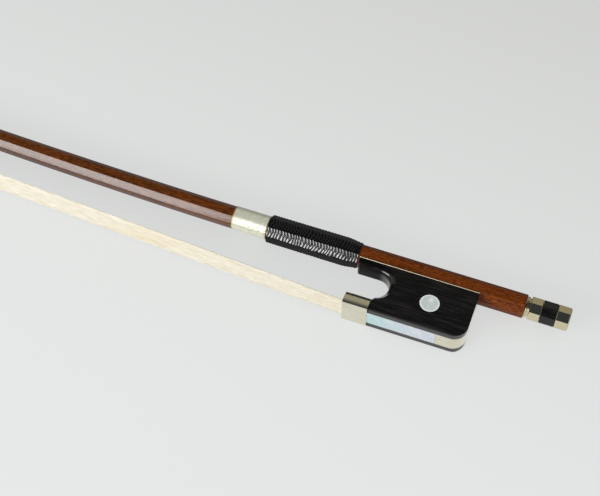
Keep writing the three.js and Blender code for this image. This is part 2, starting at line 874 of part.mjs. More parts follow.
// A disc let into the frog's side, in front of its face by a lift and as deep as stated
function eyeDisc(side, grow, lift, depth) {
  const out = new THREE.Vector3(0, sideSlope, side).normalize();
  const radius = eyeDiameter / 2 + grow;
  const geometry = new THREE.CylinderGeometry(radius, radius, lift + depth, eyeSides);
  const turn = new THREE.Quaternion().setFromUnitVectors(new THREE.Vector3(0, 1, 0), out);
  geometry.applyQuaternion(turn);
  const middle = new THREE.Vector3(frogBack - eyeFromBack, -eyeDrop, side * sideHalf(-eyeDrop));
  middle.addScaledVector(out, (lift - depth) / 2);
  geometry.translate(middle.x, middle.y, middle.z);
  return solidOf(geometry);
}

function frogSolid() {
  const blank = common(
    plateAcross(frogOutline(), frogBottomWidth + overrun),
    barAlong(frogSection(), frogFront - overrun, frogBack + overrun),
  );
  const ferruleRoom = block(
    frogFront - overrun,
    slideFront,
    -frogDepth - overrun,
    throatY,
    frogBottomWidth + 2 * overrun,
  );
  const shaped = cut(blank, ferruleRoom, cheekCuts(), throatEdge(1), throatEdge(-1));
  const innerHalf = ferruleWidth / 2 - ferruleWall - glueGap;
  const innerHeight = ferruleHeight - 2 * ferruleWall - glueGap;
  const tongue = common(
    barAlong(
      archSection(innerHalf, innerHeight, -frogDepth + ferruleWall, 2),
      ferruleFront + tongueInset,
      slideFront + overrun,
    ),
    block(ferruleFront, slideFront + 2 * overrun, tongueBottomY, throatY, ferruleWidth),
  );
  const channel = barAlong(
    channelSection(channelWall, frogTopY + overrun),
    frogFront - overrun,
    frogBack + overrun,
  );
  const slideSlot = barAlong(
    slideSection(-frogDepth - overrun, slideInnerY + glueGap, glueGap),
    slideFront - overrun,
    slideBack + glueGap,
  );
  const hairBed = block(
    slideFront - overrun,
    mortiseBack,
    slideInnerY - overrun,
    hairBedY,
    hairWidthInFrog + 2 * slideClearance,
  );
  const mortise = block(mortiseFront, mortiseBack, slideInnerY, mortiseTopY, mortiseWidth);
  const heelRoom = plateAcross(
    heelBand(-overrun, heelPlateThickness + glueGap, -heelPlateTopDrop + glueGap),
    slideWidth + 2 * glueGap,
  );
  const shankHole = rodAlongY(
    holeRadius(eyeletShank / 2, glueGap),
    holeRadius(eyeletShank / 2, glueGap),
    eyeletX,
    eyeletBaseY - eyeletShankLength - glueGap,
    0,
  );
  return cut(
    join(shaped, tongue),
    channel,
    slideSlot,
    hairBed,
    mortise,
    heelRoom,
    shankHole,
    ...heelPinRods(holeRadius(pinDiameter / 2, glueGap), 0, pinLength + glueGap),
    ...slideScrews.map((x) => slideScrew(x, glueGap)),
    ...[1, -1].map((side) => eyeDisc(side, glueGap, overrun, eyeThickness + glueGap)),
  );
}

function addFerrule() {
  const outer = barAlong(
    archSection(ferruleWidth / 2, ferruleHeight, -frogDepth, 2),
    ferruleFront,
    ferruleBack,
  );
  const innerHalf = ferruleWidth / 2 - ferruleWall;
  const innerHeight = ferruleHeight - 2 * ferruleWall;
  const inner = barAlong(
    archSection(innerHalf, innerHeight, -frogDepth + ferruleWall, 2),
    ferruleFront - overrun,
    ferruleBack + overrun,
  );
  addPiece('ferrule', cut(outer, inner), finishes.silver);
  const wedgeTop = tongueBottomY - glueGap;
  const hairTop = (x) => {
    const share = (x - ferruleFront - wedgeInset) / (slideFront - ferruleFront - wedgeInset);
    const middle = THREE.MathUtils.lerp(hairExitY, hairInsideY, share);
    return middle + hairThickness / 2 + glueGap;
  };
  const wedgeFront = ferruleFront + wedgeInset;
  const wedgeBack = ferruleBack - wedgeInset;
  const wedge = plateAcross([
    [wedgeFront, hairTop(wedgeFront)],
    [wedgeBack, hairTop(wedgeBack)],
    [wedgeBack, wedgeTop],
    [wedgeFront, wedgeTop],
  ], wedgeWidth);
  addPiece('ferrule_wedge', wedge, finishes.maple);
}

function addSlide() {
  const pearlTop = -frogDepth + pearlThickness;
  const backing = barAlong(slideSection(pearlTop + glueGap, slideInnerY, 0), slideFront, slideBack);
  addPiece('slide_backing', backing, finishes.ebony);
  const pearl = barAlong(slideSection(-frogDepth, pearlTop, 0), slideFront, slideBack);
  addPiece('pearl_slide', pearl, finishes.pearl);
}

function addHeelPlate() {
  const band = heelBand(0, heelPlateThickness, -heelPlateTopDrop);
  const holes = heelPinRods(holeRadius(pinDiameter / 2, glueGap), -overrun, pinLength);
  addPiece('heel_plate', cut(plateAcross(band, slideWidth), ...holes), finishes.silver);
  heelPinRods(pinDiameter / 2, 0, pinLength).forEach((pin, k) => {
    addPiece(`heel_pin_${k + 1}`, pin, finishes.silver);
  });
}

function addFrogLinings() {
  const outer = channelSection(channelOuter, frogTopY);
  const inner = channelSection(channelInner, frogTopY);
  const sheet = barAlong([...outer, ...inner.reverse()], frogFront, frogBack);
  const shankHole = rodAlongY(
    holeRadius(eyeletShank / 2, glueGap),
    holeRadius(eyeletShank / 2, glueGap),
    eyeletX,
    -channelWall - overrun,
    0,
  );
  const screwHoles = slideScrews.map((x) => slideScrew(x, glueGap));
  const sinkRadius = slideScrewHead / 2 + glueGap;
  const screwSinks = slideScrews.map((x) => (
    rodAlongY(sinkRadius, sinkRadius, x, -channelInner - glueGap, 0)
  ));
  addPiece('underslide', cut(sheet, shankHole, ...screwHoles, ...screwSinks), finishes.silver);
  const names = ['underslide_screw_front', 'underslide_screw_back'];
  slideScrews.forEach((x, k) => {
    const slot = block(
      x - slideScrewSlot / 2,
      x + slideScrewSlot / 2,
      -channelInner - glueGap - slideScrewSlot,
      0,
      slideScrewHead + overrun,
    );
    addPiece(names[k], cut(slideScrew(x, 0), slot), finishes.silver);
  });
}

function addFrog() {
  addPiece('frog_body', frogSolid(), finishes.ebony);
  addFrogLinings();
  addFerrule();
  addSlide();
  addHeelPlate();
  const plug = block(
    mortiseFront + glueGap,
    mortiseBack - hairTurn,
    hairBedY,
    hairBedY + frogPlugThickness,
    mortiseWidth - 2 * glueGap,
  );
  addPiece('frog_plug', plug, finishes.maple);
  addPiece('pearl_eye_near', eyeDisc(1, 0, 0, eyeThickness), finishes.pearl);
  addPiece('pearl_eye_far', eyeDisc(-1, 0, 0, eyeThickness), finishes.pearl);
}

function addEyelet() {
  const half = eyeletLength / 2;
  const head = block(eyeletX - half, eyeletX + half, eyeletBaseY, eyeletTop, eyeletWidth);
  const shank = rodAlongY(
    eyeletShank / 2,
    eyeletShank / 2,
    eyeletX,
    eyeletBaseY - eyeletShankLength,
    eyeletBaseY + overrun / 2,
  );
  const screwHole = rodAlongX(
    holeRadius(screwDiameter / 2, runningClearance),
    eyeletX - half - overrun,
    eyeletX + half + overrun,
  );
  addPiece('eyelet', cut(join(head, shank), screwHole), finishes.brass);
}

// The button's rings are octagons, turned a little from the stick's facets
function addButton() {
  const face = buttonAcross / 2;
  const collarEnd = buttonClearance + collarLength;
  const grooveEnd = collarEnd + grooveLength;
  const collarRadius = collarDiameter / 2;
  const frontRing = collar([
    [buttonClearance, collarRadius - ringEdge, 1],
    [buttonClearance + ringEdge, collarRadius, 1],
    [collarEnd - ringEdge, collarRadius, 1],
    [collarEnd, collarRadius - ringEdge, 1],
    [collarEnd, grooveDiameter / 2, 1],
    [grooveEnd, grooveDiameter / 2, 1],
    [grooveEnd, face - buttonShoulder, shoulderRoundShare],
    [grooveEnd + buttonShoulder, face, 0],
    [frontRingEnd - ringEdge, face, 0],
    [frontRingEnd, face - ringEdge, 0],
  ], buttonTurn);
  const spigot = spigotDiameter / 2;
  const screwHole = holeRadius(screwDiameter / 2, glueGap);
  const spigotHole = holeRadius(spigot, glueGap);
  const spigotStart = frontRingEnd - spigotLength;
  addPiece('button_front_ring', cut(
    frontRing,
    rodAlongX(spigotHole, spigotStart - glueGap, frontRingEnd + overrun),
    rodAlongX(screwHole, -overrun, frontRingEnd),
  ), finishes.silver);
  const coreStart = frontRingEnd + glueGap;
  const screwEnd = buttonCoreEnd + screwInCore;
  const core = collar([
    [coreStart, face - ringEdge, 0],
    [coreStart + ringEdge, face, 0],
    [buttonCoreEnd - ringEdge, face, 0],
    [buttonCoreEnd, face - ringEdge, 0],
  ], buttonTurn);
  addPiece('button_core', cut(
    join(core, rodAlongX(spigot, spigotStart, buttonCoreEnd + spigotLength)),
    rodAlongX(screwHole, -overrun, screwEnd + glueGap),
  ), finishes.ebony);
  const capStart = buttonCoreEnd + glueGap;
  const rearCap = collar([
    [capStart, face - ringEdge, 0],
    [capStart + ringEdge, face, 0],
    [buttonEnd - buttonShoulder, face, 0],
    [buttonEnd - buttonCrown, face - buttonShoulder / 2, crownRoundShare],
    [buttonEnd, face - 2 * buttonShoulder, 1],
  ], buttonTurn);
  const capBore = rodAlongX(
    spigotHole,
    buttonCoreEnd - overrun,
    buttonCoreEnd + spigotLength + glueGap,
  );
  addPiece('button_rear_cap', cut(rearCap, capBore), finishes.silver);
  const rod = screwDiameter / 2;
  addPiece('adjusting_screw', collar([
    [-screwReach, rod / 2, 1],
    [-screwReach + screwTip, rod, 1],
    [screwEnd, rod, 1],
  ]), finishes.steel);
}

addStick();
addWinding();
addLeather();
addHair();
addFrog();
addEyelet();
addButton();

// The origin is under the middle of the bow, on the table
const extent = new THREE.Box3().setFromObject(bow);
const middle = extent.getCenter(new THREE.Vector3());
bow.position.set(-middle.x, -middle.y, -extent.min.z);

export default bow;
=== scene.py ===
import json
import math
from contextlib import contextmanager

import bmesh
import bpy
from mathutils import Matrix, Vector

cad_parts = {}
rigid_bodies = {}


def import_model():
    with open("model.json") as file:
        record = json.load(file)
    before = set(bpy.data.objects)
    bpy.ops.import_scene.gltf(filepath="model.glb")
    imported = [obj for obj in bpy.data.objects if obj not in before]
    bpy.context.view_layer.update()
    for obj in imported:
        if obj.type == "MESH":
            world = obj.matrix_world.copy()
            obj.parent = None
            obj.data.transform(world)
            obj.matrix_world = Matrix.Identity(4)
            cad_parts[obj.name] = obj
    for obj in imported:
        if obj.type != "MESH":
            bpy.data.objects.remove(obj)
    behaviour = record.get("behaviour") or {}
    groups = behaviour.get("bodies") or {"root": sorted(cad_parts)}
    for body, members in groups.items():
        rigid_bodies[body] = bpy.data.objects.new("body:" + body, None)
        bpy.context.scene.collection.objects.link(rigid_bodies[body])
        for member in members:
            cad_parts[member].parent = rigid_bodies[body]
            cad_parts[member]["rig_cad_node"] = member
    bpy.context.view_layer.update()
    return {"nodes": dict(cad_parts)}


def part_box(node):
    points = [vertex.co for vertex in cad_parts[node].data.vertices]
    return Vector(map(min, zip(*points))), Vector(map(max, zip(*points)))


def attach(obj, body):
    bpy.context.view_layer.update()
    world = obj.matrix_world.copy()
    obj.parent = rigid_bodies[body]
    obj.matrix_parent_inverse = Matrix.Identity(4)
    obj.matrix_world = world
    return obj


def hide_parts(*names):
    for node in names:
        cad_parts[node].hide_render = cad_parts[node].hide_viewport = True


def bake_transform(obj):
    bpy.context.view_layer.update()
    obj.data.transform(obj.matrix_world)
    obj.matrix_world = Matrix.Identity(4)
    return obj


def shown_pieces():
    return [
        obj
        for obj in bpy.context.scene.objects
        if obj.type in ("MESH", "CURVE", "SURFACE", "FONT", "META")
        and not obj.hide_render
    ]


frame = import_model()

nodes = frame["nodes"]
collection = bpy.context.scene.collection
mm = 0.001
eighthTurn = math.pi / 4  # between the flats of the octagonal stick

# The bow's own frame, in millimetres: X along the handle from the stick's end, Y away from the
# hair and Z out of the near side. The screw reaches a known way into the stick, so it places it.
screwReach = 96
screwLow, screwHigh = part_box("adjusting_screw")
bowOrigin = (screwLow + screwHigh) / 2
bowOrigin.x = screwLow.x + screwReach * mm


def place(x, y, z):
    return bowOrigin + Vector((x, y, z)) * mm


def tint(red, green, blue):
    # an sRGB colour of 0 to 255 as a linear one
    parts = [part / 255 for part in (red, green, blue)]
    linear = [p / 12.92 if p <= 0.04045 else ((p + 0.055) / 1.055) ** 2.4 for p in parts]
    return (*linear, 1)


# A socket that can be used in sums, and the node tree that it belongs to
class Num:
    def __init__(self, graph, socket):
        self.graph = graph
        self.socket = socket

    def out(self, name):
        return Num(self.graph, self.socket.node.outputs[name])

    def sum(self, operation, *values):
        return self.graph.sum(operation, self, *values)

    def __add__(self, other):
        return self.sum("ADD", other)

    def __radd__(self, other):
        return self.graph.sum("ADD", other, self)

    def __sub__(self, other):
        return self.sum("SUBTRACT", other)

    def __rsub__(self, other):
        return self.graph.sum("SUBTRACT", other, self)

    def __mul__(self, other):
        return self.sum("MULTIPLY", other)

    def __rmul__(self, other):
        return self.graph.sum("MULTIPLY", other, self)

    def __truediv__(self, other):
        return self.sum("DIVIDE", other)

    def __rtruediv__(self, other):
        return self.graph.sum("DIVIDE", other, self)

    def __pow__(self, other):
        return self.sum("POWER", other)

    def __neg__(self):
        return self.graph.sum("MULTIPLY", self, -1)


class Graph:
    def __init__(self, tree):
        self.tree = tree

    def add(self, kind, settings=None, inputs=None, output=0):
        node = self.tree.nodes.new(kind)
        for name, value in (settings or {}).items():
            setattr(node, name, value)
        for key, value in (inputs or {}).items():
            self.feed(node.inputs[key], value)
        return Num(self, node.outputs[output])

    def feed(self, socket, value):
        if isinstance(value, Num):
            self.tree.links.new(value.socket, socket)
        else:
            socket.default_value = value

    def sum(self, operation, *values):
        return self.add("ShaderNodeMath", {"operation": operation}, dict(enumerate(values)))

    def mix(self, share, first, second):
        return self.add(
            "ShaderNodeMix",
            {"data_type": "RGBA", "clamp_factor": True},
            {0: share, 6: first, 7: second},
            2,
        )

    def step(self, value, low, high):
        return self.add(
            "ShaderNodeMapRange",
            {"interpolation_type": "SMOOTHSTEP"},
            {"Value": value, "From Min": low, "From Max": high},
        )

    def point(self, stretch=(1, 1, 1), origin=(0, 0, 0)):
        # a point on the piece in metres, times the stretch
        return self.add(
            "ShaderNodeMapping",
            inputs={
                "Vector": self.add("ShaderNodeTexCoord", output="Object"),
                "Location": tuple(-o * s for o, s in zip(origin, stretch)),
                "Scale": stretch,
            },
        )

    def bowPoint(self):
        # the same in the bow's frame and in millimetres: its X, and out("Y") and out("Z")
        point = self.point((1 / mm, 1 / mm, 1 / mm), bowOrigin)
        return self.add("ShaderNodeSeparateXYZ", inputs={0: point})

    def noise(self, point, scale=1, detail=2, roughness=0.5, distortion=0):
        return self.add(
            "ShaderNodeTexNoise",
            inputs={
                "Vector": point,
                "Scale": scale,
                "Detail": detail,
                "Roughness": roughness,
                "Distortion": distortion,
            },
        )

    def bump(self, height, distance, strength):
        return self.add(
            "ShaderNodeBump",
            inputs={"Height": height, "Distance": distance * mm, "Strength": strength},
        )


def newFinish(name, **constants):
    material = bpy.data.materials.new(name)
    material.use_nodes = True
    graph = Graph(material.node_tree)
    shader = material.node_tree.nodes["Principled BSDF"]
    for key, value in constants.items():
        shader.inputs[key.replace("_", " ")].default_value = value
    return material, graph, shader.inputs


# A stretch is in waves to the metre: a low first number draws the grain out along the stick.
# A pair is where a noise begins to show and where it shows in full.
woodLook = {
    "dark": tint(60, 27, 4),
    "ember": tint(118, 60, 10),
    "handleDark": tint(76, 31, 6),
    "handleWarm": tint(136, 68, 20),
    "streak": tint(34, 13, 4),
    "streakShare": 0.55,
    "fleckStretch": (480, 2300, 2300),
    "grainStretch": (70, 1000, 1000),
    "poreStretch": (260, 4200, 4200),
    "bandStretch": (9, 160, 160),
    "tones": (0.5, 0.82),
    "streaks": (0.55, 0.68),
    "handleFrom": -80,
    "handleFade": 5,
    "varnishGone": 0.72,  # how much of the varnish is worn off the handle
    "roughness": 0.32,
    "poreRoughness": 0.16,
    "bumpHeight": 0.04,
}


def pernambucoFinish():
    look = woodLook
    material, graph, shader = newFinish(
        "stickFinish", Coat_Roughness=0.17, Coat_IOR=1.45, Specular_IOR_Level=0.4, IOR=1.1
    )
    fleck = graph.noise(graph.point(look["fleckStretch"]), detail=3, roughness=0.65)
    grain = graph.noise(graph.point(look["grainStretch"]), 1, 4, 0.6, 0.4)
    pore = graph.noise(graph.point(look["poreStretch"]))
    band = graph.noise(graph.point(look["bandStretch"]))
    start, fade = look["handleFrom"], look["handleFade"]
    onHandle = graph.step(graph.bowPoint(), start - fade, start + fade)
    tone = graph.step(fleck * 0.8 + grain * 0.3 + band * 0.2, *look["tones"])
    stickColour = graph.mix(tone, look["dark"], look["ember"])
    handleColour = graph.mix(tone, look["handleDark"], look["handleWarm"])
    colour = graph.mix(onHandle, stickColour, handleColour)
    streaks = graph.step(grain * 0.6 + pore * 0.4, *look["streaks"])
    colour = graph.mix(streaks * look["streakShare"], colour, look["streak"])
    graph.feed(shader["Base Color"], colour)
    graph.feed(shader["Coat Weight"], 1 - onHandle * look["varnishGone"])
    graph.feed(shader["Roughness"], look["roughness"] + pore * look["poreRoughness"])
    height = pore * 0.5 + fleck * 0.5
    graph.feed(shader["Normal"], graph.bump(height, look["bumpHeight"], 0.6))
    return material


ebonyLook = {
    "dark": tint(10, 9, 9),
    "pale": tint(38, 34, 34),
    "pore": tint(6, 6, 6),
    "poreShare": 0.6,
    "grainStretch": (90, 900, 900),
    "poreStretch": (300, 3600, 3600),
    "tones": (0.42, 0.72),
    "pores": (0.6, 0.75),
    "thumb": (-62.5, -59),  # in front of this the thumb has only the dull polish
    "dullPolish": 0.12,
    "polish": 0.8,  # added to it elsewhere
    "roughness": 0.3,
    "grainRoughness": 0.18,
    "bumpHeight": 0.03,
}


def ebonyFinish():
    look = ebonyLook
    material, graph, shader = newFinish(
        "ebonyFinish", Coat_Roughness=0.1, Specular_IOR_Level=0.4, IOR=1.08
    )
    grain = graph.noise(graph.point(look["grainStretch"]), 1, 5, 0.65, 0.5)
    pore = graph.noise(graph.point(look["poreStretch"]))
    colour = graph.mix(graph.step(grain, *look["tones"]), look["dark"], look["pale"])
    pores = graph.step(pore, *look["pores"]) * look["poreShare"]
    colour = graph.mix(pores, colour, look["pore"])
    polished = graph.step(graph.bowPoint(), *look["thumb"])
    graph.feed(shader["Coat Weight"], look["dullPolish"] + polished * look["polish"])
    graph.feed(shader["Base Color"], colour)
    graph.feed(shader["Roughness"], look["roughness"] + grain * look["grainRoughness"])
    graph.feed(shader["Normal"], graph.bump(pore + grain * 0.5, look["bumpHeight"], 0.5))
    return material


metalLooks = {
    "nickel": {
        "name": "silverFinish",
        "pale": tint(232, 227, 208),
        "dull": tint(216, 209, 182),
        "roughness": 0.1,
    },
    "buttonNickel": {
        "name": "buttonSilverFinish",
        "pale": tint(224, 215, 183),
        "dull": tint(208, 197, 160),
        "roughness": 0.1,
    },
    "wire": {
        "name": "wireFinish",
        "pale": tint(253, 253, 240),
        "dull": tint(240, 240, 216),
        "roughness": 0.26,
        "metal": 0.5,
        "rings": 0.5,
        "ends": (-129.55, -113.55),
    },
    "edge": {
        "name": "edgeFinish",
        "pale": tint(244, 229, 194),
        "dull": tint(232, 204, 156),
        "roughness": 0.35,
        "metal": 0.15,
    },
    "brass": {
        "name": "brassFinish",
        "pale": tint(206, 164, 88),
        "dull": tint(160, 118, 56),
        "roughness": 0.3,
    },
    "steel": {
        "name": "steelFinish",
        "pale": tint(170, 170, 172),
        "dull": tint(120, 120, 124),
        "roughness": 0.26,
    },
}
metalGrain = {
    "cloudScale": 120,
    "lineStretch": (900, 90, 90),
    "lineScale": 14,
    "turnStretch": (1500, 90, 90),
    "clouds": (0.3, 0.75),
    "turns": (0.38, 0.62),
    "cloudRoughness": 0.06,
    "lineRoughness": 0.08,
    "bumpHeight": 0.004,
}
giltRim = {"colour": tint(214, 178, 96), "share": 0.8, "from": 0.3, "to": 0.7}


def metalFinish(name, pale, dull, roughness, metal=1, rings=0, ends=()):
    # rings shade the wire's turns apart, and ends are where a gilt rim closes the winding
    look = metalGrain
    material, graph, shader = newFinish(name, Metallic=metal)
    cloud = graph.noise(graph.point(), look["cloudScale"], 3, 0.6)
    line = graph.noise(graph.point(look["lineStretch"]), look["lineScale"], 3, 0.6)
    turn = graph.noise(graph.point(look["turnStretch"]), roughness=0.7)
    turns = graph.step(turn, *look["turns"]) - 0.5
    tone = graph.step(cloud, *look["clouds"]) * 0.5 + turns * rings
    colour = graph.mix(tone, pale, dull)
    if ends:
        x = graph.bowPoint()
        start, end = ends
        near, far = giltRim["from"], giltRim["to"]
        pastStart = graph.step(x, start + near, start + far)
        pastEnd = graph.step(x, end - far, end - near)
        rim = 1 - pastStart * (1 - pastEnd)
        colour = graph.mix(rim * giltRim["share"], colour, giltRim["colour"])
    graph.feed(shader["Base Color"], colour)
    rough = roughness + cloud * look["cloudRoughness"] + line * look["lineRoughness"]
    graph.feed(shader["Roughness"], rough)
    graph.feed(shader["Normal"], graph.bump(line, look["bumpHeight"], 0.25))
    return material


pearlColours = {
    "cyan": tint(162, 196, 201),
    "lilac": tint(188, 193, 209),
    "rose": tint(216, 200, 214),
    "green": tint(168, 200, 186),
    "white": tint(228, 238, 236),
    "shade": tint(124, 158, 152),
    "pale": tint(214, 228, 222),
    # rim: the white of the eye's painted highlight, a bright ring round its edge and a glint
    "rim": tint(252, 251, 252),
}
pearlBands = {
    "shade": (0.55, 1),
    "rose": (0.45, 0.7),
    "green": (0.4, 0.95),
    "white": (0.5, 0.8),
    "leastPlay": 0.28,  # from which the shade shows
    "roughness": 0.2,
    "slowRoughness": 0.2,
    "bumpHeight": 0.03,
}
# The eye's painted highlight: a white ring round its edge and a glint off its middle
eyeLook = {
    "middle": (-37.6, -14.9),
    # where the painted highlight's glint sits
    "glint": (0.2, 1.7),  # from the middle
    "glintFrom": 0.3,
    "glintTo": 1.7,
    "glintShare": 0.8,
    "highlightRingFrom": 3.1,
    "highlightRingTo": 3.9,
    "highlightRingShare": 0.9,
}
# Each shell's colour goes from the first to the last along the handle. The play is how strong
# the other colours are in it, and the swirl how many curls it has to the metre.
pearlLooks = {
    "slidePearl": {"span": (-60, -40), "colours": ("cyan", "lilac"), "swirl": 95, "play": 0.28},
    "eyePearl": {
        "span": (-42, -33),
        "colours": ("pale", "white"),
        "swirl": 260,
        "play": 0.9,
        "eye": eyeLook,
    },
}


def pearlFinish(name, span, colours, swirl, play, eye=None):
    # layered shell: bands that curl round each other, pulled along by a slow noise
    material, graph, shader = newFinish(
        name, Coat_Weight=0.8, Coat_Roughness=0.05, Specular_IOR_Level=0.6
    )
    look, bands = pearlColours, pearlBands
    x = graph.bowPoint()
    slow = graph.noise(graph.point(), swirl, 3, 0.55, 1.6)
    curl = graph.add(
        "ShaderNodeTexWave",
        {"wave_type": "BANDS", "bands_direction": "DIAGONAL", "wave_profile": "SIN"},
        {
            "Vector": graph.point(),
            "Scale": swirl * 1.1,
            "Distortion": 9,
            "Detail": 3,
            "Detail Scale": 1.4,
        },
        "Fac",
    )
    first, last = (look[colour] for colour in colours)
    colour = graph.mix(graph.step(x, *span), first, last)
    fold = graph.step((curl * 3 + slow * 4).sum("FRACT"), *bands["shade"])
    colour = graph.mix(fold * (play - bands["leastPlay"]), colour, look["shade"])
    colour = graph.mix(graph.step(slow, *bands["rose"]) * play, colour, look["rose"])
    colour = graph.mix(graph.step(curl, *bands["green"]) * play, colour, look["green"])
    pale = graph.step(slow * 0.6 + curl * 0.4, *bands["white"])
    colour = graph.mix(pale * play, colour, look["white"])
    # on the eye, painted highlight in the rim's white: a ring round its edge, then a glint
    if eye:
        x, y = (x.out(axis) - middle for axis, middle in zip("XY", eye["middle"]))
        out = (x ** 2 + y ** 2).sum("SQRT")
        rim = graph.step(out, eye["highlightRingFrom"], eye["highlightRingTo"])
        colour = graph.mix(rim * eye["highlightRingShare"], colour, look["rim"])
        aside, above = eye["glint"]
        away = ((x - aside) ** 2 + (y - above) ** 2).sum("SQRT")
        glint = 1 - graph.step(away, eye["glintFrom"], eye["glintTo"])
        colour = graph.mix(glint * eye["glintShare"], colour, look["rim"])
    graph.feed(shader["Base Color"], colour)
    graph.feed(shader["Roughness"], bands["roughness"] + slow * bands["slowRoughness"])
    graph.feed(shader["Normal"], graph.bump(curl * 0.5 + slow, bands["bumpHeight"], 0.4))
    return material


leatherSizes = {
    "start": -113.5,
    "end": -72.5,
    "gap": 0.04,  # to the stick
    "thick": 1.05,
    "edge": 0.4,  # the length of the rounded front edge
    "taper": 7,  # the length over which it thins to the skive
    "skive": 0.42,
    "round": 34,  # round the stick, as the pattern counts it
    "sides": 136,
    "step": 0.11,
    "edgeRows": 6,
    "insideRows": 8,
}
leatherLook = {
    "dark": tint(5, 5, 6),
    "pale": tint(16, 16, 17),
    "tones": (0.4, 0.75),
    "dullShine": 0.11,  # on the facet that faces the hair
    "shine": 0.28,  # added to it elsewhere
    "facet": (1.9, 2.5),  # half that facet's width, and the end of the fade
    "grainScale": 3.4,
    "cloudScale": 160,
    "roughness": 0.4,
    "bumpHeight": 0.04,
}


def leatherFinish():
    # wrap holds a point's place on the flat leather: along the stick, and round it
    look = leatherLook
    material, graph, shader = newFinish(
        "leatherFinish", Specular_IOR_Level=0.4, IOR=1.08, Coat_Roughness=0.08, Coat_IOR=2.4
    )
    wrap = graph.add("ShaderNodeAttribute", {"attribute_name": "wrap"}, output="Vector")
    around = graph.add("ShaderNodeSeparateXYZ", inputs={0: wrap}).out("Y")
    fromHair = (around - leatherSizes["round"] / 2).sum("ABSOLUTE")
    worn = graph.step(fromHair, *look["facet"])
    fine = graph.noise(wrap, look["grainScale"], 3, 0.6)
    cloud = graph.noise(graph.point(), look["cloudScale"])
    colour = graph.mix(graph.step(fine, *look["tones"]), look["dark"], look["pale"])
    graph.feed(shader["Coat Weight"], look["dullShine"] + worn * look["shine"])
    graph.feed(shader["Base Color"], colour)
    graph.feed(shader["Roughness"], look["roughness"] + fine * 0.16 + cloud * 0.08)
    graph.feed(shader["Normal"], graph.bump(fine, look["bumpHeight"], 0.5))
    return material


hairLook = {
    "shade": tint(204, 195, 171),
    "light": tint(231, 225, 210),
    "lock": tint(220, 206, 170),
    "lockShare": 0.4,
    "strandStretch": (8, 3000, 2600),
    "lockStretch": (4, 420, 420),
    "strands": (0.32, 0.62),
    "locks": (0.5, 0.72),
    "roughness": 0.42,
    "strandRoughness": 0.2,
    "bumpHeight": 0.05,
}


def hairFinish():
    look = hairLook
    material, graph, shader = newFinish("hairFinish", Specular_IOR_Level=0.35)
    strand = graph.noise(graph.point(look["strandStretch"]), detail=3, roughness=0.6)
    lock = graph.noise(graph.point(look["lockStretch"]))
    colour = graph.mix(graph.step(strand, *look["strands"]), look["shade"], look["light"])
    locks = graph.step(lock, *look["locks"]) * look["lockShare"]
    colour = graph.mix(locks, colour, look["lock"])
    graph.feed(shader["Base Color"], colour)
    graph.feed(shader["Roughness"], look["roughness"] + strand * look["strandRoughness"])
    graph.feed(shader["Normal"], graph.bump(strand, look["bumpHeight"], 0.4))
    return material


grainLooks = {
    "bone": {
        "name": "boneFinish",
        "dark": tint(222, 212, 190),
        "light": tint(242, 237, 224),
        "stretch": (120, 900, 900),
        "roughness": 0.3,
    },
    "maple": {
        "name": "mapleFinish",
        "dark": tint(178, 140, 92),
        "light": tint(216, 182, 134),
        "stretch": (90, 1300, 1300),
        "roughness": 0.5,
    },
    "waxedHair": {
        "name": "waxedHairFinish",
        "dark": tint(150, 118, 70),
        "light": tint(206, 178, 126),
        "stretch": (1200, 1200, 200),
        "roughness": 0.4,
    },
}
plainGrain = {
    "speckScale": 2600,
    "tones": (0.35, 0.68),
    "speckRoughness": 0.14,
    "bumpHeight": 0.04,
}


def plainGrainFinish(name, dark, light, stretch, roughness):
    look = plainGrain
    material, graph, shader = newFinish(name)
    grain = graph.noise(graph.point(stretch), detail=4, roughness=0.6, distortion=0.3)
    speck = graph.noise(graph.point(), look["speckScale"])
    tone = graph.step(grain * 0.7 + speck * 0.3, *look["tones"])
    graph.feed(shader["Base Color"], graph.mix(tone, dark, light))
    graph.feed(shader["Roughness"], roughness + speck * look["speckRoughness"])
    height = grain + speck * 0.4
    graph.feed(shader["Normal"], graph.bump(height, look["bumpHeight"], 0.5))
    return material


finishes = {
    "pernambuco": pernambucoFinish(),
    "ebony": ebonyFinish(),
    "leather": leatherFinish(),
    "hair": hairFinish(),
}
finishes.update({key: metalFinish(**look) for key, look in metalLooks.items()})
finishes.update({key: pearlFinish(key, **look) for key, look in pearlLooks.items()})
finishes.update({key: plainGrainFinish(**look) for key, look in grainLooks.items()})
print("finishes made:", len(finishes))


def newPiece(name, points, faces, finish):
    mesh = bpy.data.meshes.new(name)
    mesh.from_pydata([tuple(p) for p in points], [], faces)
    mesh.validate()
    piece = bpy.data.objects.new(name, mesh)
    collection.objects.link(piece)
    mesh.materials.append(finishes[finish])
    return piece


def smooth(piece, angle):
    # an edge stays sharp where its faces meet at more degrees than this
    piece.data.shade_smooth()
    piece.data.set_sharp_from_angle(angle=math.radians(angle))


def settle(piece):
    # what the modifiers make becomes the piece's plain mesh
    bpy.context.view_layer.update()
    depsgraph = bpy.context.evaluated_depsgraph_get()
    mesh = bpy.data.meshes.new_from_object(piece.evaluated_get(depsgraph))
    old = piece.data
    name = old.name
    piece.modifiers.clear()
    piece.data = mesh
    bpy.data.meshes.remove(old)
    mesh.name = name


@contextmanager
def editing(piece):
    shape = bmesh.new()
    shape.from_mesh(piece.data)
    yield shape
    shape.to_mesh(piece.data)
    shape.free()


def outward(piece):
    # doubles merged, and every face turned to point out
    with editing(piece) as shape:
        bmesh.ops.remove_doubles(shape, verts=shape.verts, dist=0.0005 * mm)
        bmesh.ops.recalc_face_normals(shape, faces=shape.faces)


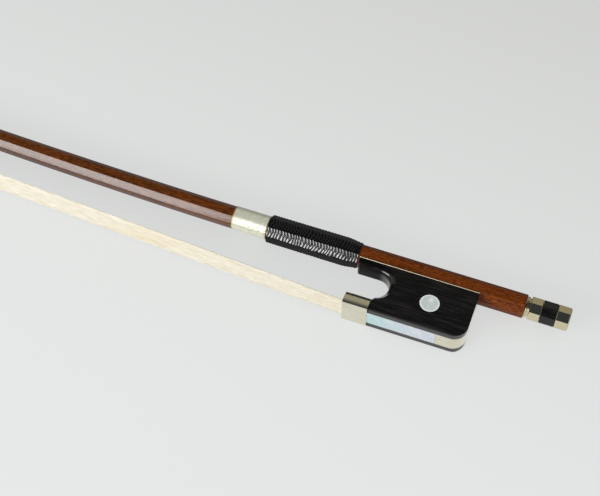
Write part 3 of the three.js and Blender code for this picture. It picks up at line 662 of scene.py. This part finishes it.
def sliceAt(shape, x, clear=False):
    # a cut across the bow, and with clear nothing is left on the side of the button
    bmesh.ops.bisect_plane(
        shape,
        geom=shape.verts[:] + shape.edges[:] + shape.faces[:],
        plane_co=place(x, 0, 0),
        plane_no=(1, 0, 0),
        clear_outer=clear,
    )


def bevel(piece, width, segments=3, **settings):
    edge = piece.modifiers.new("edges", "BEVEL")
    edge.width = width * mm
    edge.segments = segments
    for name, value in settings.items():
        setattr(edge, name, value)
    settle(piece)


def cadShape(nodeName):
    # a CAD node's triangles, merged, and its flat faces made whole again
    shape = bmesh.new()
    shape.from_mesh(nodes[nodeName].data)
    bmesh.ops.remove_doubles(shape, verts=shape.verts, dist=0.001 * mm)
    bmesh.ops.dissolve_limit(
        shape, angle_limit=math.radians(0.08), verts=shape.verts, edges=shape.edges
    )
    bmesh.ops.dissolve_degenerate(shape, dist=0.002 * mm, edges=shape.edges)
    shape.verts.ensure_lookup_table()
    shape.verts.index_update()
    points = [v.co.copy() for v in shape.verts]
    faces = [[v.index for v in f.verts] for f in shape.faces]
    shape.free()
    return points, faces


# Geometry Nodes: every tree has its sizes and its finish as named inputs
socketKinds = {float: "NodeSocketFloat", int: "NodeSocketInt"}


def newTree(name, sizes):
    tree = bpy.data.node_groups.new(name, "GeometryNodeTree")
    face = tree.interface
    face.new_socket("Geometry", in_out="INPUT", socket_type="NodeSocketGeometry")
    for label, value in sizes.items():
        socket = face.new_socket(label, in_out="INPUT", socket_type=socketKinds[type(value)])
        socket.default_value = value
    face.new_socket("Finish", in_out="INPUT", socket_type="NodeSocketMaterial")
    face.new_socket("Geometry", in_out="OUTPUT", socket_type="NodeSocketGeometry")
    graph = Graph(tree)
    given = graph.add("NodeGroupInput")
    return tree, graph, given


def endTree(graph, given, geometry):
    whole = graph.add("GeometryNodeRealizeInstances", inputs={"Geometry": geometry})
    painted = graph.add(
        "GeometryNodeSetMaterial", inputs={"Geometry": whole, "Material": given.out("Finish")}
    )
    graph.feed(graph.tree.nodes.new("NodeGroupOutput").inputs[0], painted)


def runTree(piece, tree, sizes, finish):
    modifier = piece.modifiers.new("shape", "NODES")
    modifier.node_group = tree
    sockets = {
        item.name: item.identifier
        for item in tree.interface.items_tree
        if item.item_type == "SOCKET" and item.in_out == "INPUT"
    }
    for label, value in sizes.items():
        modifier[sockets[label]] = value
    modifier[sockets["Finish"]] = finishes[finish]
    settle(piece)


def grown(name, tree, sizes, finish):
    # a piece whose whole shape comes from its tree
    piece = newPiece(name, [(0, 0, 0)], [], finish)
    runTree(piece, tree, sizes, finish)
    outward(piece)
    return piece


def straightLine(graph, direction, count):
    line = graph.add("GeometryNodeCurvePrimitiveLine", inputs={"End": (direction, 0, 0)})
    return graph.add("GeometryNodeResampleCurve", inputs={"Curve": line, "Count": count})


def moved(graph, line, x, y, z):
    # the line's points at these places, from the bow's origin
    parts = zip("XYZ", bowOrigin, (x, y, z))
    point = graph.add("ShaderNodeCombineXYZ", inputs={axis: o + part for axis, o, part in parts})
    return graph.add("GeometryNodeSetPosition", inputs={"Geometry": line, "Position": point})


def ringOf(graph, sides, radius=0.5):
    return graph.add(
        "GeometryNodeCurvePrimitiveCircle", inputs={"Resolution": sides, "Radius": radius}
    )


def swept(graph, line, ring, across):
    return graph.add(
        "GeometryNodeCurveToMesh",
        inputs={"Curve": line, "Profile Curve": ring, "Scale": across, "Fill Caps": True},
    )


stickSizes = {
    "Handle Across": 9.5 * mm,
    "Neck Across": 6.4 * mm,
    "Parallel Length": 72 * mm,
    "Straight Length": 115 * mm,
    "Neck At": 670.1 * mm,
    "Camber Easing": 140 * mm,
    "Camber Rise": 26.7 * mm,
    "Length": 650.3 * mm,
    "Chamfer": 0.35 * mm,
    "Step": 2.4 * mm,
    "Corner Radius": 0.055,
}


# The stick's taper and camber at a distance from its end, as numbers in metres
def acrossAt(distance):
    handle, neck = stickSizes["Handle Across"], stickSizes["Neck Across"]
    parallel, neckAt = stickSizes["Parallel Length"], stickSizes["Neck At"]
    return handle - (handle - neck) * max(distance - parallel, 0) / (neckAt - parallel)


def bendAt(distance):
    easing = stickSizes["Camber Easing"]
    past = max(distance - stickSizes["Straight Length"], 0)
    return past - easing * (1 - math.exp(-past / easing))


def riseAt(distance):
    return stickSizes["Camber Rise"] * bendAt(distance) / bendAt(stickSizes["Neck At"])


# The same as nodes, where size gives the stick's sizes as sockets or as numbers
def acrossNodes(size, distance):
    handle, parallel = size("Handle Across"), size("Parallel Length")
    taper = (distance - parallel).sum("MAXIMUM", 0) / (size("Neck At") - parallel)
    return handle - (handle - size("Neck Across")) * taper


def bendNodes(size, distance):
    easing = size("Camber Easing")
    past = (distance - size("Straight Length")).sum("MAXIMUM", 0)
    return past - easing * (1 - (-past / easing).sum("EXPONENT"))


def stickTree():
    tree, graph, given = newTree("stickAlongCamber", stickSizes)
    size = given.out
    count = (size("Length") / size("Step")).sum("CEIL") + 2
    line = straightLine(graph, -1, count)
    index = graph.add("GeometryNodeInputIndex")
    first = index.sum("MINIMUM", 1)  # 0 at the end face and 1 past its chamfer
    share = (index - 1).sum("MAXIMUM", 0) / (count - 2)
    distance = first * size("Chamfer") + share * (size("Length") - size("Chamfer"))
    across = acrossNodes(size, distance) - (1 - first) * size("Chamfer") * 2
    rise = size("Camber Rise") * bendNodes(size, distance) / bendNodes(size, size("Neck At"))
    line = moved(graph, line, -distance, rise, 0)
    line = graph.add("GeometryNodeSetCurveNormal", {"mode": "Z_UP"}, {"Curve": line})
    ring = ringOf(graph, 8, 0.5 / math.cos(eighthTurn / 2))
    ring = graph.add(
        "GeometryNodeTransform", inputs={"Geometry": ring, "Rotation": (0, 0, eighthTurn / 2)}
    )
    ring = graph.add(
        "GeometryNodeFilletCurve",
        {"mode": "POLY"},
        {"Curve": ring, "Radius": size("Corner Radius"), "Count": 3},
    )
    endTree(graph, given, swept(graph, line, ring, across))
    return tree


boreSizes = {"from": -98.5, "to": 1, "radius": 1.7, "sides": 32}
slotSizes = {"x": (-51.75, -32.25), "y": (-9.5, 2.9), "z": (-2.3, 2.3)}


def rodPiece(name, size):
    sides = size["sides"]
    angles = [2 * math.pi * k / sides for k in range(sides)]
    points = [
        place(x, size["radius"] * math.cos(a), size["radius"] * math.sin(a))
        for x in (size["from"], size["to"])
        for a in angles
    ]
    faces = [[k, (k + 1) % sides, (k + 1) % sides + sides, k + sides] for k in range(sides)]
    faces += [list(range(sides))[::-1], list(range(sides, 2 * sides))]
    return newPiece(name, points, faces, "pernambuco")


def boxPiece(name, size):
    points = [place(x, y, z) for x in size["x"] for y in size["y"] for z in size["z"]]
    faces = [(0, 1, 3, 2), (4, 6, 7, 5), (0, 4, 5, 1), (2, 3, 7, 6), (0, 2, 6, 4), (1, 5, 7, 3)]
    return newPiece(name, points, faces, "pernambuco")


def carve(piece, cutter):
    outward(cutter)
    modifier = piece.modifiers.new("cut", "BOOLEAN")
    modifier.operation = "DIFFERENCE"
    modifier.solver = "EXACT"
    modifier.object = cutter
    settle(piece)
    bpy.data.objects.remove(cutter)


stick = grown("stick_wood", stickTree(), stickSizes, "pernambuco")
carve(stick, rodPiece("bore", boreSizes))
carve(stick, boxPiece("slot", slotSizes))
smooth(stick, 24)
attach(stick, "stick")
print("stick:", len(stick.data.vertices), "points")

# The head is the CAD's, cut off where the neck begins
headSizes = {"from": -650, "edge": 0.32, "sharpFrom": 25}
head = newPiece("stick_head", *cadShape("stick"), "pernambuco")
with editing(head) as shape:
    sliceAt(shape, headSizes["from"], clear=True)
    bmesh.ops.holes_fill(shape, edges=[edge for edge in shape.edges if edge.is_boundary])
smooth(head, headSizes["sharpFrom"])
sharpFrom = math.radians(headSizes["sharpFrom"])
bevel(head, headSizes["edge"], angle_limit=sharpFrom, harden_normals=True)
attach(head, "stick")
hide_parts("stick")
print("head:", len(head.data.vertices), "points")

windingSizes = {
    "Start": -129.55 * mm,
    "Length": 16 * mm,
    "Wire": 0.3 * mm,
    "Turns": 52,
    "Steps": 40,
    "Lift": 0.03 * mm,
    "Corner Share": 1.045,
}


def octagonReach(angle, apothem):
    # from the middle to an octagon's edge, with flats up, down and to both sides
    nearest = (angle / eighthTurn).sum("ROUND") * eighthTurn
    return apothem / (angle - nearest).sum("COSINE")


def windingTree():
    tree, graph, given = newTree("wireRoundStick", windingSizes)
    size, stickSize = given.out, stickSizes.get
    line = straightLine(graph, 1, size("Turns") * size("Steps") + 1)
    share = graph.add("GeometryNodeSplineParameter", output="Factor")
    angle = share * size("Turns") * (2 * math.pi)
    half = size("Wire") * 0.5
    x = size("Start") + half + share * (size("Length") - size("Wire"))
    apothem = acrossNodes(stickSize, -x) * 0.5 + half + size("Lift")
    reach = octagonReach(angle, apothem).sum("MINIMUM", apothem * size("Corner Share"))
    riseShare = stickSizes["Camber Rise"] / bendAt(stickSizes["Neck At"])
    rise = bendNodes(stickSize, -x) * riseShare
    y, z = rise + reach * angle.sum("COSINE"), reach * angle.sum("SINE")
    line = moved(graph, line, x, y, z)
    endTree(graph, given, swept(graph, line, ringOf(graph, 8), size("Wire")))
    return tree


winding = grown("silver_winding", windingTree(), windingSizes, "wire")
smooth(winding, 60)
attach(winding, "stick")
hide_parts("winding")
print("winding:", len(winding.data.vertices), "points")

# The thumb leather is a tube with skived ends, embossed with rows of short bars
grainSizes = {
    "Bar": 1.34 * mm,
    "Row": 2.3 * mm,
    "Lean": 0.6 * mm,
    "Wander": 1.3 * mm,
    "Height": 0.26 * mm,
    "Row Sway": 1.1,
    "Row Shift": 0.37,
    "Sway Scale": 0.15,
    "Sink": 0.6,
}


def leatherRows():
    # each row's place along the stick, its lift off the stick and how far it is rounded
    size = leatherSizes
    start, end, edge, gap = size["start"], size["end"], size["edge"], size["gap"]
    count = round((end - start) / size["step"])
    rows = [(start + 0.05, gap, 0.05)]
    for k in range(size["edgeRows"]):
        turn = math.pi / 2 * (k + 0.5) / size["edgeRows"]
        lift = gap + (size["thick"] - gap) * math.sin(turn) ** 0.8
        rows.append((start + edge * (1 - math.cos(turn)), lift, 0.3))
    for k in range(count + 1):
        x = start + edge + (end - start - edge - 0.15) * k / count
        fall = max(0, (x - (end - size["taper"])) / size["taper"])
        fall = fall * fall * (3 - 2 * fall)
        rows.append((x, size["thick"] + (size["skive"] - size["thick"]) * fall, 0.08))
    rows += [(end - 0.04, size["skive"] * 0.8, 0.2), (end, gap + 0.1, 0.1), (end, gap, 0.05)]
    back = size["insideRows"]
    return rows + [(end + (start - end) * (k + 1) / (back + 1), gap, 0) for k in range(back)]


def leatherPoint(x, angle, lift, roundShare):
    apothem = acrossAt(-x * mm) / mm / 2 + lift
    reach = apothem / math.cos(angle - eighthTurn * round(angle / eighthTurn))
    reach += (apothem * 1.02 - reach) * roundShare
    return place(x, riseAt(-x * mm) / mm + reach * math.cos(angle), reach * math.sin(angle))


def leatherTube():
    # closed round the stick and back along its inside
    size, rows = leatherSizes, leatherRows()
    sides, total = size["sides"], len(rows) * size["sides"]
    points, wraps, shows = [], [], []
    for x, lift, roundShare in rows:
        show = min(1, max(0, (lift - size["gap"] - 0.15) / 0.4))  # the grain fades at the edges
        for k in range(sides):
            points.append(leatherPoint(x, 2 * math.pi * k / sides, lift, roundShare))
            wraps += [x, k * size["round"] / sides, 0]
            shows.append(show)
    faces = []
    for row in range(0, total, sides):
        after = (row + sides) % total
        for k in range(sides):
            near = (k + 1) % sides
            faces.append((row + k, row + near, after + near, after + k))
    piece = newPiece("thumb_leather_wrap", points, faces, "leather")
    wrap = piece.data.attributes.new("wrap", "FLOAT_VECTOR", "POINT")
    wrap.data.foreach_set("vector", wraps)
    show = piece.data.attributes.new("show", "FLOAT", "POINT")
    show.data.foreach_set("value", shows)
    outward(piece)
    return piece


def grainTree():
    tree, graph, given = newTree("leatherScales", grainSizes)
    size = given.out

    def attribute(name, kind):
        return graph.add("GeometryNodeInputNamedAttribute", {"data_type": kind}, {"Name": name})

    wrap = graph.add("ShaderNodeSeparateXYZ", inputs={0: attribute("wrap", "FLOAT_VECTOR")})
    along, around = wrap.out("X"), wrap.out("Y")
    bar, row, lean, wander = (size(label) / mm for label in ("Bar", "Row", "Lean", "Wander"))
    flat = graph.add("ShaderNodeCombineXYZ", inputs={"X": along, "Y": around})
    sway = graph.noise(flat, size("Sway Scale")) - 0.5
    around = around / row + 0.5 + sway * size("Row Sway")
    number, inRow = around.sum("FLOOR"), around.sum("FRACT")
    side = 1 - (number * 0.5).sum("FRACT") * 4  # each row leans the other way
    slant = along + side * lean * (inRow - 0.5) + sway * wander * 2 + number * size("Row Shift")
    across = (slant / bar).sum("FRACT") * 2 - 1
    ridge = (1 - across ** 2).sum("MAXIMUM", 0).sum("SQRT")
    ends = (1 - (inRow * 2 - 1) ** 8).sum("MAXIMUM", 0).sum("SQRT")
    dome = ridge * (ends * 0.7 + 0.3)
    height = (dome - size("Sink")) * size("Height") * attribute("show", "FLOAT")
    offset = graph.add(
        "ShaderNodeVectorMath",
        {"operation": "SCALE"},
        {0: graph.add("GeometryNodeInputNormal"), "Scale": height},
    )
    body = graph.add("GeometryNodeSetPosition", inputs={"Geometry": given, "Offset": offset})
    body = graph.add("GeometryNodeSetShadeSmooth", inputs={"Geometry": body})
    endTree(graph, given, body)
    return tree


leather = leatherTube()
runTree(leather, grainTree(), grainSizes, "leather")
smooth(leather, 50)
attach(leather, "stick")
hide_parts("thumb_leather")
print("leather:", len(leather.data.vertices), "points")

# Pieces in the CAD's form with their edges broken: the width of the broken edge, the angle from
# which an edge is broken, and the body
softenedPieces = [
    ("frog_ebony", "frog_body", "ebony", 0.2, 25, "frog"),
    ("ferrule_silver", "ferrule", "nickel", 0.1, 25, "frog"),
    ("heel_plate_silver", "heel_plate", "nickel", 0.06, 25, "frog"),
    ("pearl_slide_shell", "pearl_slide", "slidePearl", 0.05, 25, "frog"),
    ("pearl_eye_near_shell", "pearl_eye_near", "eyePearl", 0.12, 40, "frog"),
    ("pearl_eye_far_shell", "pearl_eye_far", "eyePearl", 0.12, 40, "frog"),
    ("underslide_silver", "underslide", "nickel", 0.05, 25, "frog"),
    ("button_front_silver", "button_front_ring", "buttonNickel", 0.07, 20, "screw"),
    ("button_core_ebony", "button_core", "ebony", 0.07, 20, "screw"),
    ("button_cap_silver", "button_rear_cap", "buttonNickel", 0.09, 20, "screw"),
    ("head_plate_bone", "head_plate", "bone", 0.12, 25, "stick"),
    ("head_liner_ebony", "head_liner", "ebony", 0.05, 25, "stick"),
]
frogSizes = {
    "front": -71.75,
    "back": -19.3,
    "throat": -9.5,
    "thumbHalf": 5.5,
    "noseRound": 1.1,
    "noseCuts": 5,
    "noseBelow": -3.2,  # from here down, over noseDeep, the rounding grows to its full size
    "noseDeep": 1.4,
}


def softened(name, nodeName, finish, width, angle):
    piece = newPiece(name, *cadShape(nodeName), finish)
    smooth(piece, angle)
    limit = math.radians(angle)
    bevel(piece, width, angle_limit=limit, harden_normals=True, miter_outer="MITER_ARC")
    return piece


def roundNose(piece):
    # the frog's two front edges, rounded more the further they are below the lip
    size = frogSizes
    depth, cuts = size["noseRound"], size["noseCuts"]
    with editing(piece) as shape:
        for k in range(cuts):
            turn = math.pi / 2 * (k + 1) / cuts
            sliceAt(shape, size["front"] + depth * (1 - math.cos(turn)))
        for vertex in shape.verts:
            x, y, z = (vertex.co - bowOrigin) / mm
            past = (size["front"] + depth - x) / depth
            if past > 0 and y > size["throat"]:
                share = min(1, max(0, (size["noseBelow"] - y) / size["noseDeep"]))
                inset = depth * (1 - math.sqrt(max(0, 1 - min(past, 1) ** 2))) * share
                vertex.co.z -= z * inset / size["thumbHalf"] * mm
    piece.data.attributes.remove(piece.data.attributes["custom_normal"])
    smooth(piece, 25)
    piece.modifiers.new("even", "WEIGHTED_NORMAL").keep_sharp = True
    settle(piece)


for name, nodeName, finish, width, angle, body in softenedPieces:
    piece = softened(name, nodeName, finish, width, angle)
    if nodeName == "frog_body":
        roundNose(piece)
    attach(piece, body)
    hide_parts(nodeName)
    print(name, len(piece.data.vertices))

lipSizes = {
    "top": -2.72,
    "bottom": -3.04,
    "inner": 4.62,
    "outer": 5.08,
    "edge": 0.1,
    "lean": 0.03,
    "tuck": 0.04,
    "fromFront": 0.05,
    "fromBack": 0.02,
    "bevel": 0.03,
}


def frogLip(name, side):
    # a thin metal strip that lies on the frog's side along the top edge
    size = lipSizes
    top, bottom, inner, outer, edge = (
        size[key] for key in ("top", "bottom", "inner", "outer", "edge")
    )
    section = [
        (inner, top),
        (outer - edge, top),
        (outer, top - edge),
        (outer + size["lean"], bottom + edge),
        (outer - size["tuck"], bottom),
        (inner, bottom),
    ]
    ends = (frogSizes["front"] + size["fromFront"], frogSizes["back"] - size["fromBack"])
    points = [place(x, y, side * z) for x in ends for z, y in section]
    count = len(section)
    faces = [(k, (k + 1) % count, (k + 1) % count + count, k + count) for k in range(count)]
    faces += [tuple(range(count))[::-1], tuple(range(count, 2 * count))]
    piece = newPiece(name, points, faces, "edge")
    outward(piece)
    bevel(piece, size["bevel"], 2)
    smooth(piece, 30)
    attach(piece, "frog")


frogLip("frog_lip_near", 1)
frogLip("frog_lip_far", -1)

# The nodes that keep their CAD shape
keptNodes = {
    "steel": ["adjusting_screw"],
    "nickel": [
        "underslide_screw_front",
        "underslide_screw_back",
        "heel_pin_1",
        "heel_pin_2",
        "heel_pin_3",
        "heel_pin_4",
    ],
    "maple": ["ferrule_wedge", "frog_plug", "head_plug"],
    "ebony": ["slide_backing"],
    "waxedHair": ["frog_knot", "head_knot"],
    "brass": ["eyelet"],
}
for finish, nodeNames in keptNodes.items():
    for nodeName in nodeNames:
        nodes[nodeName].data.materials.clear()
        nodes[nodeName].data.materials.append(finishes[finish])
print("CAD shapes kept:", sum(len(nodeNames) for nodeNames in keptNodes.values()))

# The hair: a ribbon of single hairs over a core that runs from knot to knot
hairSizes = {
    "Strands": 260,
    "Steps": 30,
    "Start": -71.0 * mm,
    "End": -671.6 * mm,
    "Start Y": -25.45 * mm,
    "End Y": 6.1 * mm,
    "Start Width": 13.5 * mm,
    "End Width": 9.8 * mm,
    "Spread": 2.9 * mm,
    "Thickness": 0.95 * mm,
    "Strand": 0.2 * mm,
    "Wander": 0.35 * mm,
    "Scatter": 0.03,
    "Seed": 7,
}


def hairTree():
    tree, graph, given = newTree("hairRibbon", hairSizes)
    size = given.out
    line = graph.add(
        "GeometryNodeMeshLine", inputs={"Count": size("Strands"), "Offset": (0, 0, 1)}
    )
    strand = straightLine(graph, -1, size("Steps"))
    spread = graph.add("GeometryNodeInstanceOnPoints", inputs={"Points": line, "Instance": strand})
    spread = graph.add("GeometryNodeRealizeInstances", inputs={"Geometry": spread})
    position = graph.add("GeometryNodeInputPosition")
    number = graph.add("ShaderNodeSeparateXYZ", inputs={0: position}).out("Z")
    share = graph.add("GeometryNodeSplineParameter", output="Factor")

    def chance(offset):
        # from -1 to 1, one for each hair
        return graph.add(
            "FunctionNodeRandomValue",
            {"data_type": "FLOAT"},
            {2: -1.0, 3: 1.0, "ID": number, "Seed": size("Seed") + offset},
            1,
        )

    def between(start, end):
        return size(start) + (size(end) - size(start)) * share

    swell = (share * math.pi).sum("SINE")
    width = between("Start Width", "End Width") + size("Spread") * swell
    across = (number / (size("Strands") - 1) * 2 - 1) + chance(1) * size("Scatter")
    across = across.sum("MINIMUM", 1).sum("MAXIMUM", -1)
    level = chance(2)
    fall = (1 - across ** 2 * across ** 2 * across ** 2).sum("MAXIMUM", 0).sum("SQRT")
    # a slow wave along each hair, and another for its neighbour
    spots = {"X": share * 3.5, "Y": number * 3.7, "Z": level * 9}
    wave = graph.noise(graph.add("ShaderNodeCombineXYZ", inputs=spots), detail=1)
    drift = (wave - 0.5) * size("Wander") * swell.sum("SQRT") * 2
    y = between("Start Y", "End Y") + level * fall * (size("Thickness") - size("Strand")) * 0.5
    z = across * (width - size("Strand")) * 0.5 + drift
    hairs = moved(graph, spread, between("Start", "End"), y, z)
    body = swept(graph, hairs, ringOf(graph, 4), size("Strand"))
    body = graph.add("GeometryNodeSetShadeSmooth", inputs={"Geometry": body})
    endTree(graph, given, body)
    return tree


hairs = grown("bow_hair", hairTree(), hairSizes, "hair")
core = newPiece("hair_core", *cadShape("hair_ribbon"), "hair")
with editing(hairs) as shape:
    shape.from_mesh(core.data)
bpy.data.objects.remove(core)
hairs.data.shade_smooth()
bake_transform(hairs)
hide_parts("hair_ribbon")
print("hair:", len(hairs.data.vertices), "points")

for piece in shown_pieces():
    "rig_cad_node" not in piece

# A pale table under one soft box, with a dim fill. Metal mirrors the sky, which the camera
# doesn't see: pale low in front, dimmer low behind, and dark above. Lengths are in metres, but
# the lamps aim at a place in the bow's own frame.
studio = {
    "floor": tint(231, 233, 232),
    # painted shade: the floor's colour darkens to this towards +Y, over the span far
    "floorFarShade": tint(206, 207, 205),
    "floorHalf": 4,
    "floorUnder": 0.0002,
    "far": (-0.12, 0.25),
    "showThrough": 0.8,  # how much of the floor is its own plain colour, without shade
    # painted shadow: how much of the floor's colour metal mirrors from behind the bow, where its
    # shadow falls
    "shadowedFloorShare": 0.26,  # how much of that colour metal mirrors from behind the bow
    "behind": (-0.01, 0.008),
    "boxRadiance": 10,
    "boxSize": (0.91, 0.42),
    "boxDistance": 1.25,
    "boxAzimuth": -36,
    "boxElevation": 27,
    "fill": 1.5,
    "fillElevation": 75,
    "fillSpread": 150,
    "aim": (-140, -5, 0),
    "ambient": (0.12, 0.12, 0.12, 1),
    "skyLow": (0.75, 0.75, 0.73, 1),
    "skyBack": (0.36, 0.345, 0.27, 1),
    "skyHigh": (0.035, 0.043, 0.058, 1),
    "back": (-0.2, 0.3),
    "high": (0.52, 0.86),
}


def floorFinish():
    # partly lit, partly its own plain colour, which darkens towards the back as painted shade; in
    # a mirror, behind the bow, it is darker still, a painted shadow of the bow
    look = studio
    material, graph, shader = newFinish("floorFinish", Roughness=0.8)
    shader["Base Color"].default_value = look["floor"]
    camera = graph.add("ShaderNodeLightPath", output="Is Camera Ray")
    mirrored = camera.out("Is Glossy Ray").sum("MAXIMUM", camera.out("Is Transmission Ray"))
    y = graph.add("ShaderNodeSeparateXYZ", inputs={0: graph.point()}).out("Y")
    # painted shade: the floor darkens towards the back
    colour = graph.mix(graph.step(y, *look["far"]), look["floor"], look["floorFarShade"])
    # painted shadow of the bow, seen only in mirrors: the floor's glow darkened behind it
    behind = graph.step(y, *look["behind"])
    mirroredShadow = behind * (1 - look["shadowedFloorShare"]) * (1 - camera)
    colour = graph.mix(mirroredShadow, colour, (0, 0, 0, 1))
    seen = (camera * look["showThrough"]).sum("MAXIMUM", mirrored)
    glow = graph.add("ShaderNodeEmission", inputs={"Color": colour})
    lit = Num(graph, graph.tree.nodes["Principled BSDF"].outputs[0])
    both = graph.add("ShaderNodeMixShader", inputs={0: seen, 1: lit, 2: glow})
    graph.feed(graph.tree.nodes["Material Output"].inputs["Surface"], both)
    return material


finishes["floor"] = floorFinish()
half, under = studio["floorHalf"], studio["floorUnder"]
corners = ((-half, -half), (half, -half), (half, half), (-half, half))
floorPoints = [(x, y, -under) for x, y in corners]
floor = newPiece("floor", floorPoints, [(0, 1, 2, 3)], "floor")


def addSky():
    look = studio
    world = bpy.data.worlds.new("studio")
    bpy.context.scene.world = world
    world.use_nodes = True
    graph = Graph(world.node_tree)
    ray = graph.add("ShaderNodeLightPath", output="Is Camera Ray")
    direction = graph.add("ShaderNodeTexCoord", output="Generated")
    toSky = graph.add("ShaderNodeSeparateXYZ", inputs={0: direction})
    back = graph.step(toSky.out("Y"), *look["back"])
    high = graph.step(toSky.out("Z"), *look["high"])
    sky = graph.mix(high, graph.mix(back, look["skyLow"], look["skyBack"]), look["skyHigh"])
    sky = graph.mix(ray.out("Is Glossy Ray"), look["ambient"], sky)
    sky = graph.mix(ray, sky, look["floor"])
    graph.feed(world.node_tree.nodes["Background"].inputs["Color"], sky)


def addLamp(name, kind, azimuth, elevation, distance=1):
    # a lamp that faces the handle
    lamp = bpy.data.lights.new(name, kind)
    holder = bpy.data.objects.new(name, lamp)
    collection.objects.link(holder)
    turn, rise = math.radians(azimuth), math.radians(elevation)
    ahead = math.cos(rise)
    away = Vector((math.sin(turn) * ahead, -math.cos(turn) * ahead, math.sin(rise)))
    holder.location = place(*studio["aim"]) + away * distance
    holder.rotation_mode = "QUATERNION"
    holder.rotation_quaternion = away.to_track_quat("Z", "Y")
    holder.visible_camera = False
    return lamp, holder


addSky()
box = addLamp(
    "soft_box", "AREA", studio["boxAzimuth"], studio["boxElevation"], studio["boxDistance"]
)[0]
box.shape = "RECTANGLE"
box.size, box.size_y = studio["boxSize"]
box.energy = studio["boxRadiance"] * math.pi * box.size * box.size_y
fill, fillHolder = addLamp("fill", "SUN", 0, studio["fillElevation"])
fill.energy = studio["fill"]
fill.angle = math.radians(studio["fillSpread"])
fillHolder.visible_glossy = False

# The camera that was fitted to the photograph: its turn as an axis times an angle, where it has
# the bow's origin, in millimetres, and its focal length in pixels of a picture this wide
cameraLook = {
    "turn": (2.60805, 0.44518, -0.12147),
    "shift": (93.9, 24.4, 604.6),
    "focal": 1451.7,
    "pictureWidth": 600,
    "sensor": 36,
    "clip": (0.01, 20),
}


def addCamera():
    look = cameraLook
    turn = Vector(look["turn"])
    toBow = Matrix.Rotation(turn.length, 3, turn.normalized()).transposed()
    camera = bpy.data.cameras.new("camera")
    camera.lens = look["focal"] / look["pictureWidth"] * look["sensor"]
    camera.sensor_width = look["sensor"]
    camera.clip_start, camera.clip_end = look["clip"]
    holder = bpy.data.objects.new("camera", camera)
    collection.objects.link(holder)
    bpy.context.scene.camera = holder
    holder.location = place(*(toBow @ -Vector(look["shift"])))
    holder.rotation_mode = "QUATERNION"
    holder.rotation_quaternion = (toBow @ Matrix.Diagonal((1, -1, -1))).to_quaternion()


addCamera()
bpy.context.scene.view_settings.view_transform = "Standard"
print("studio set up")
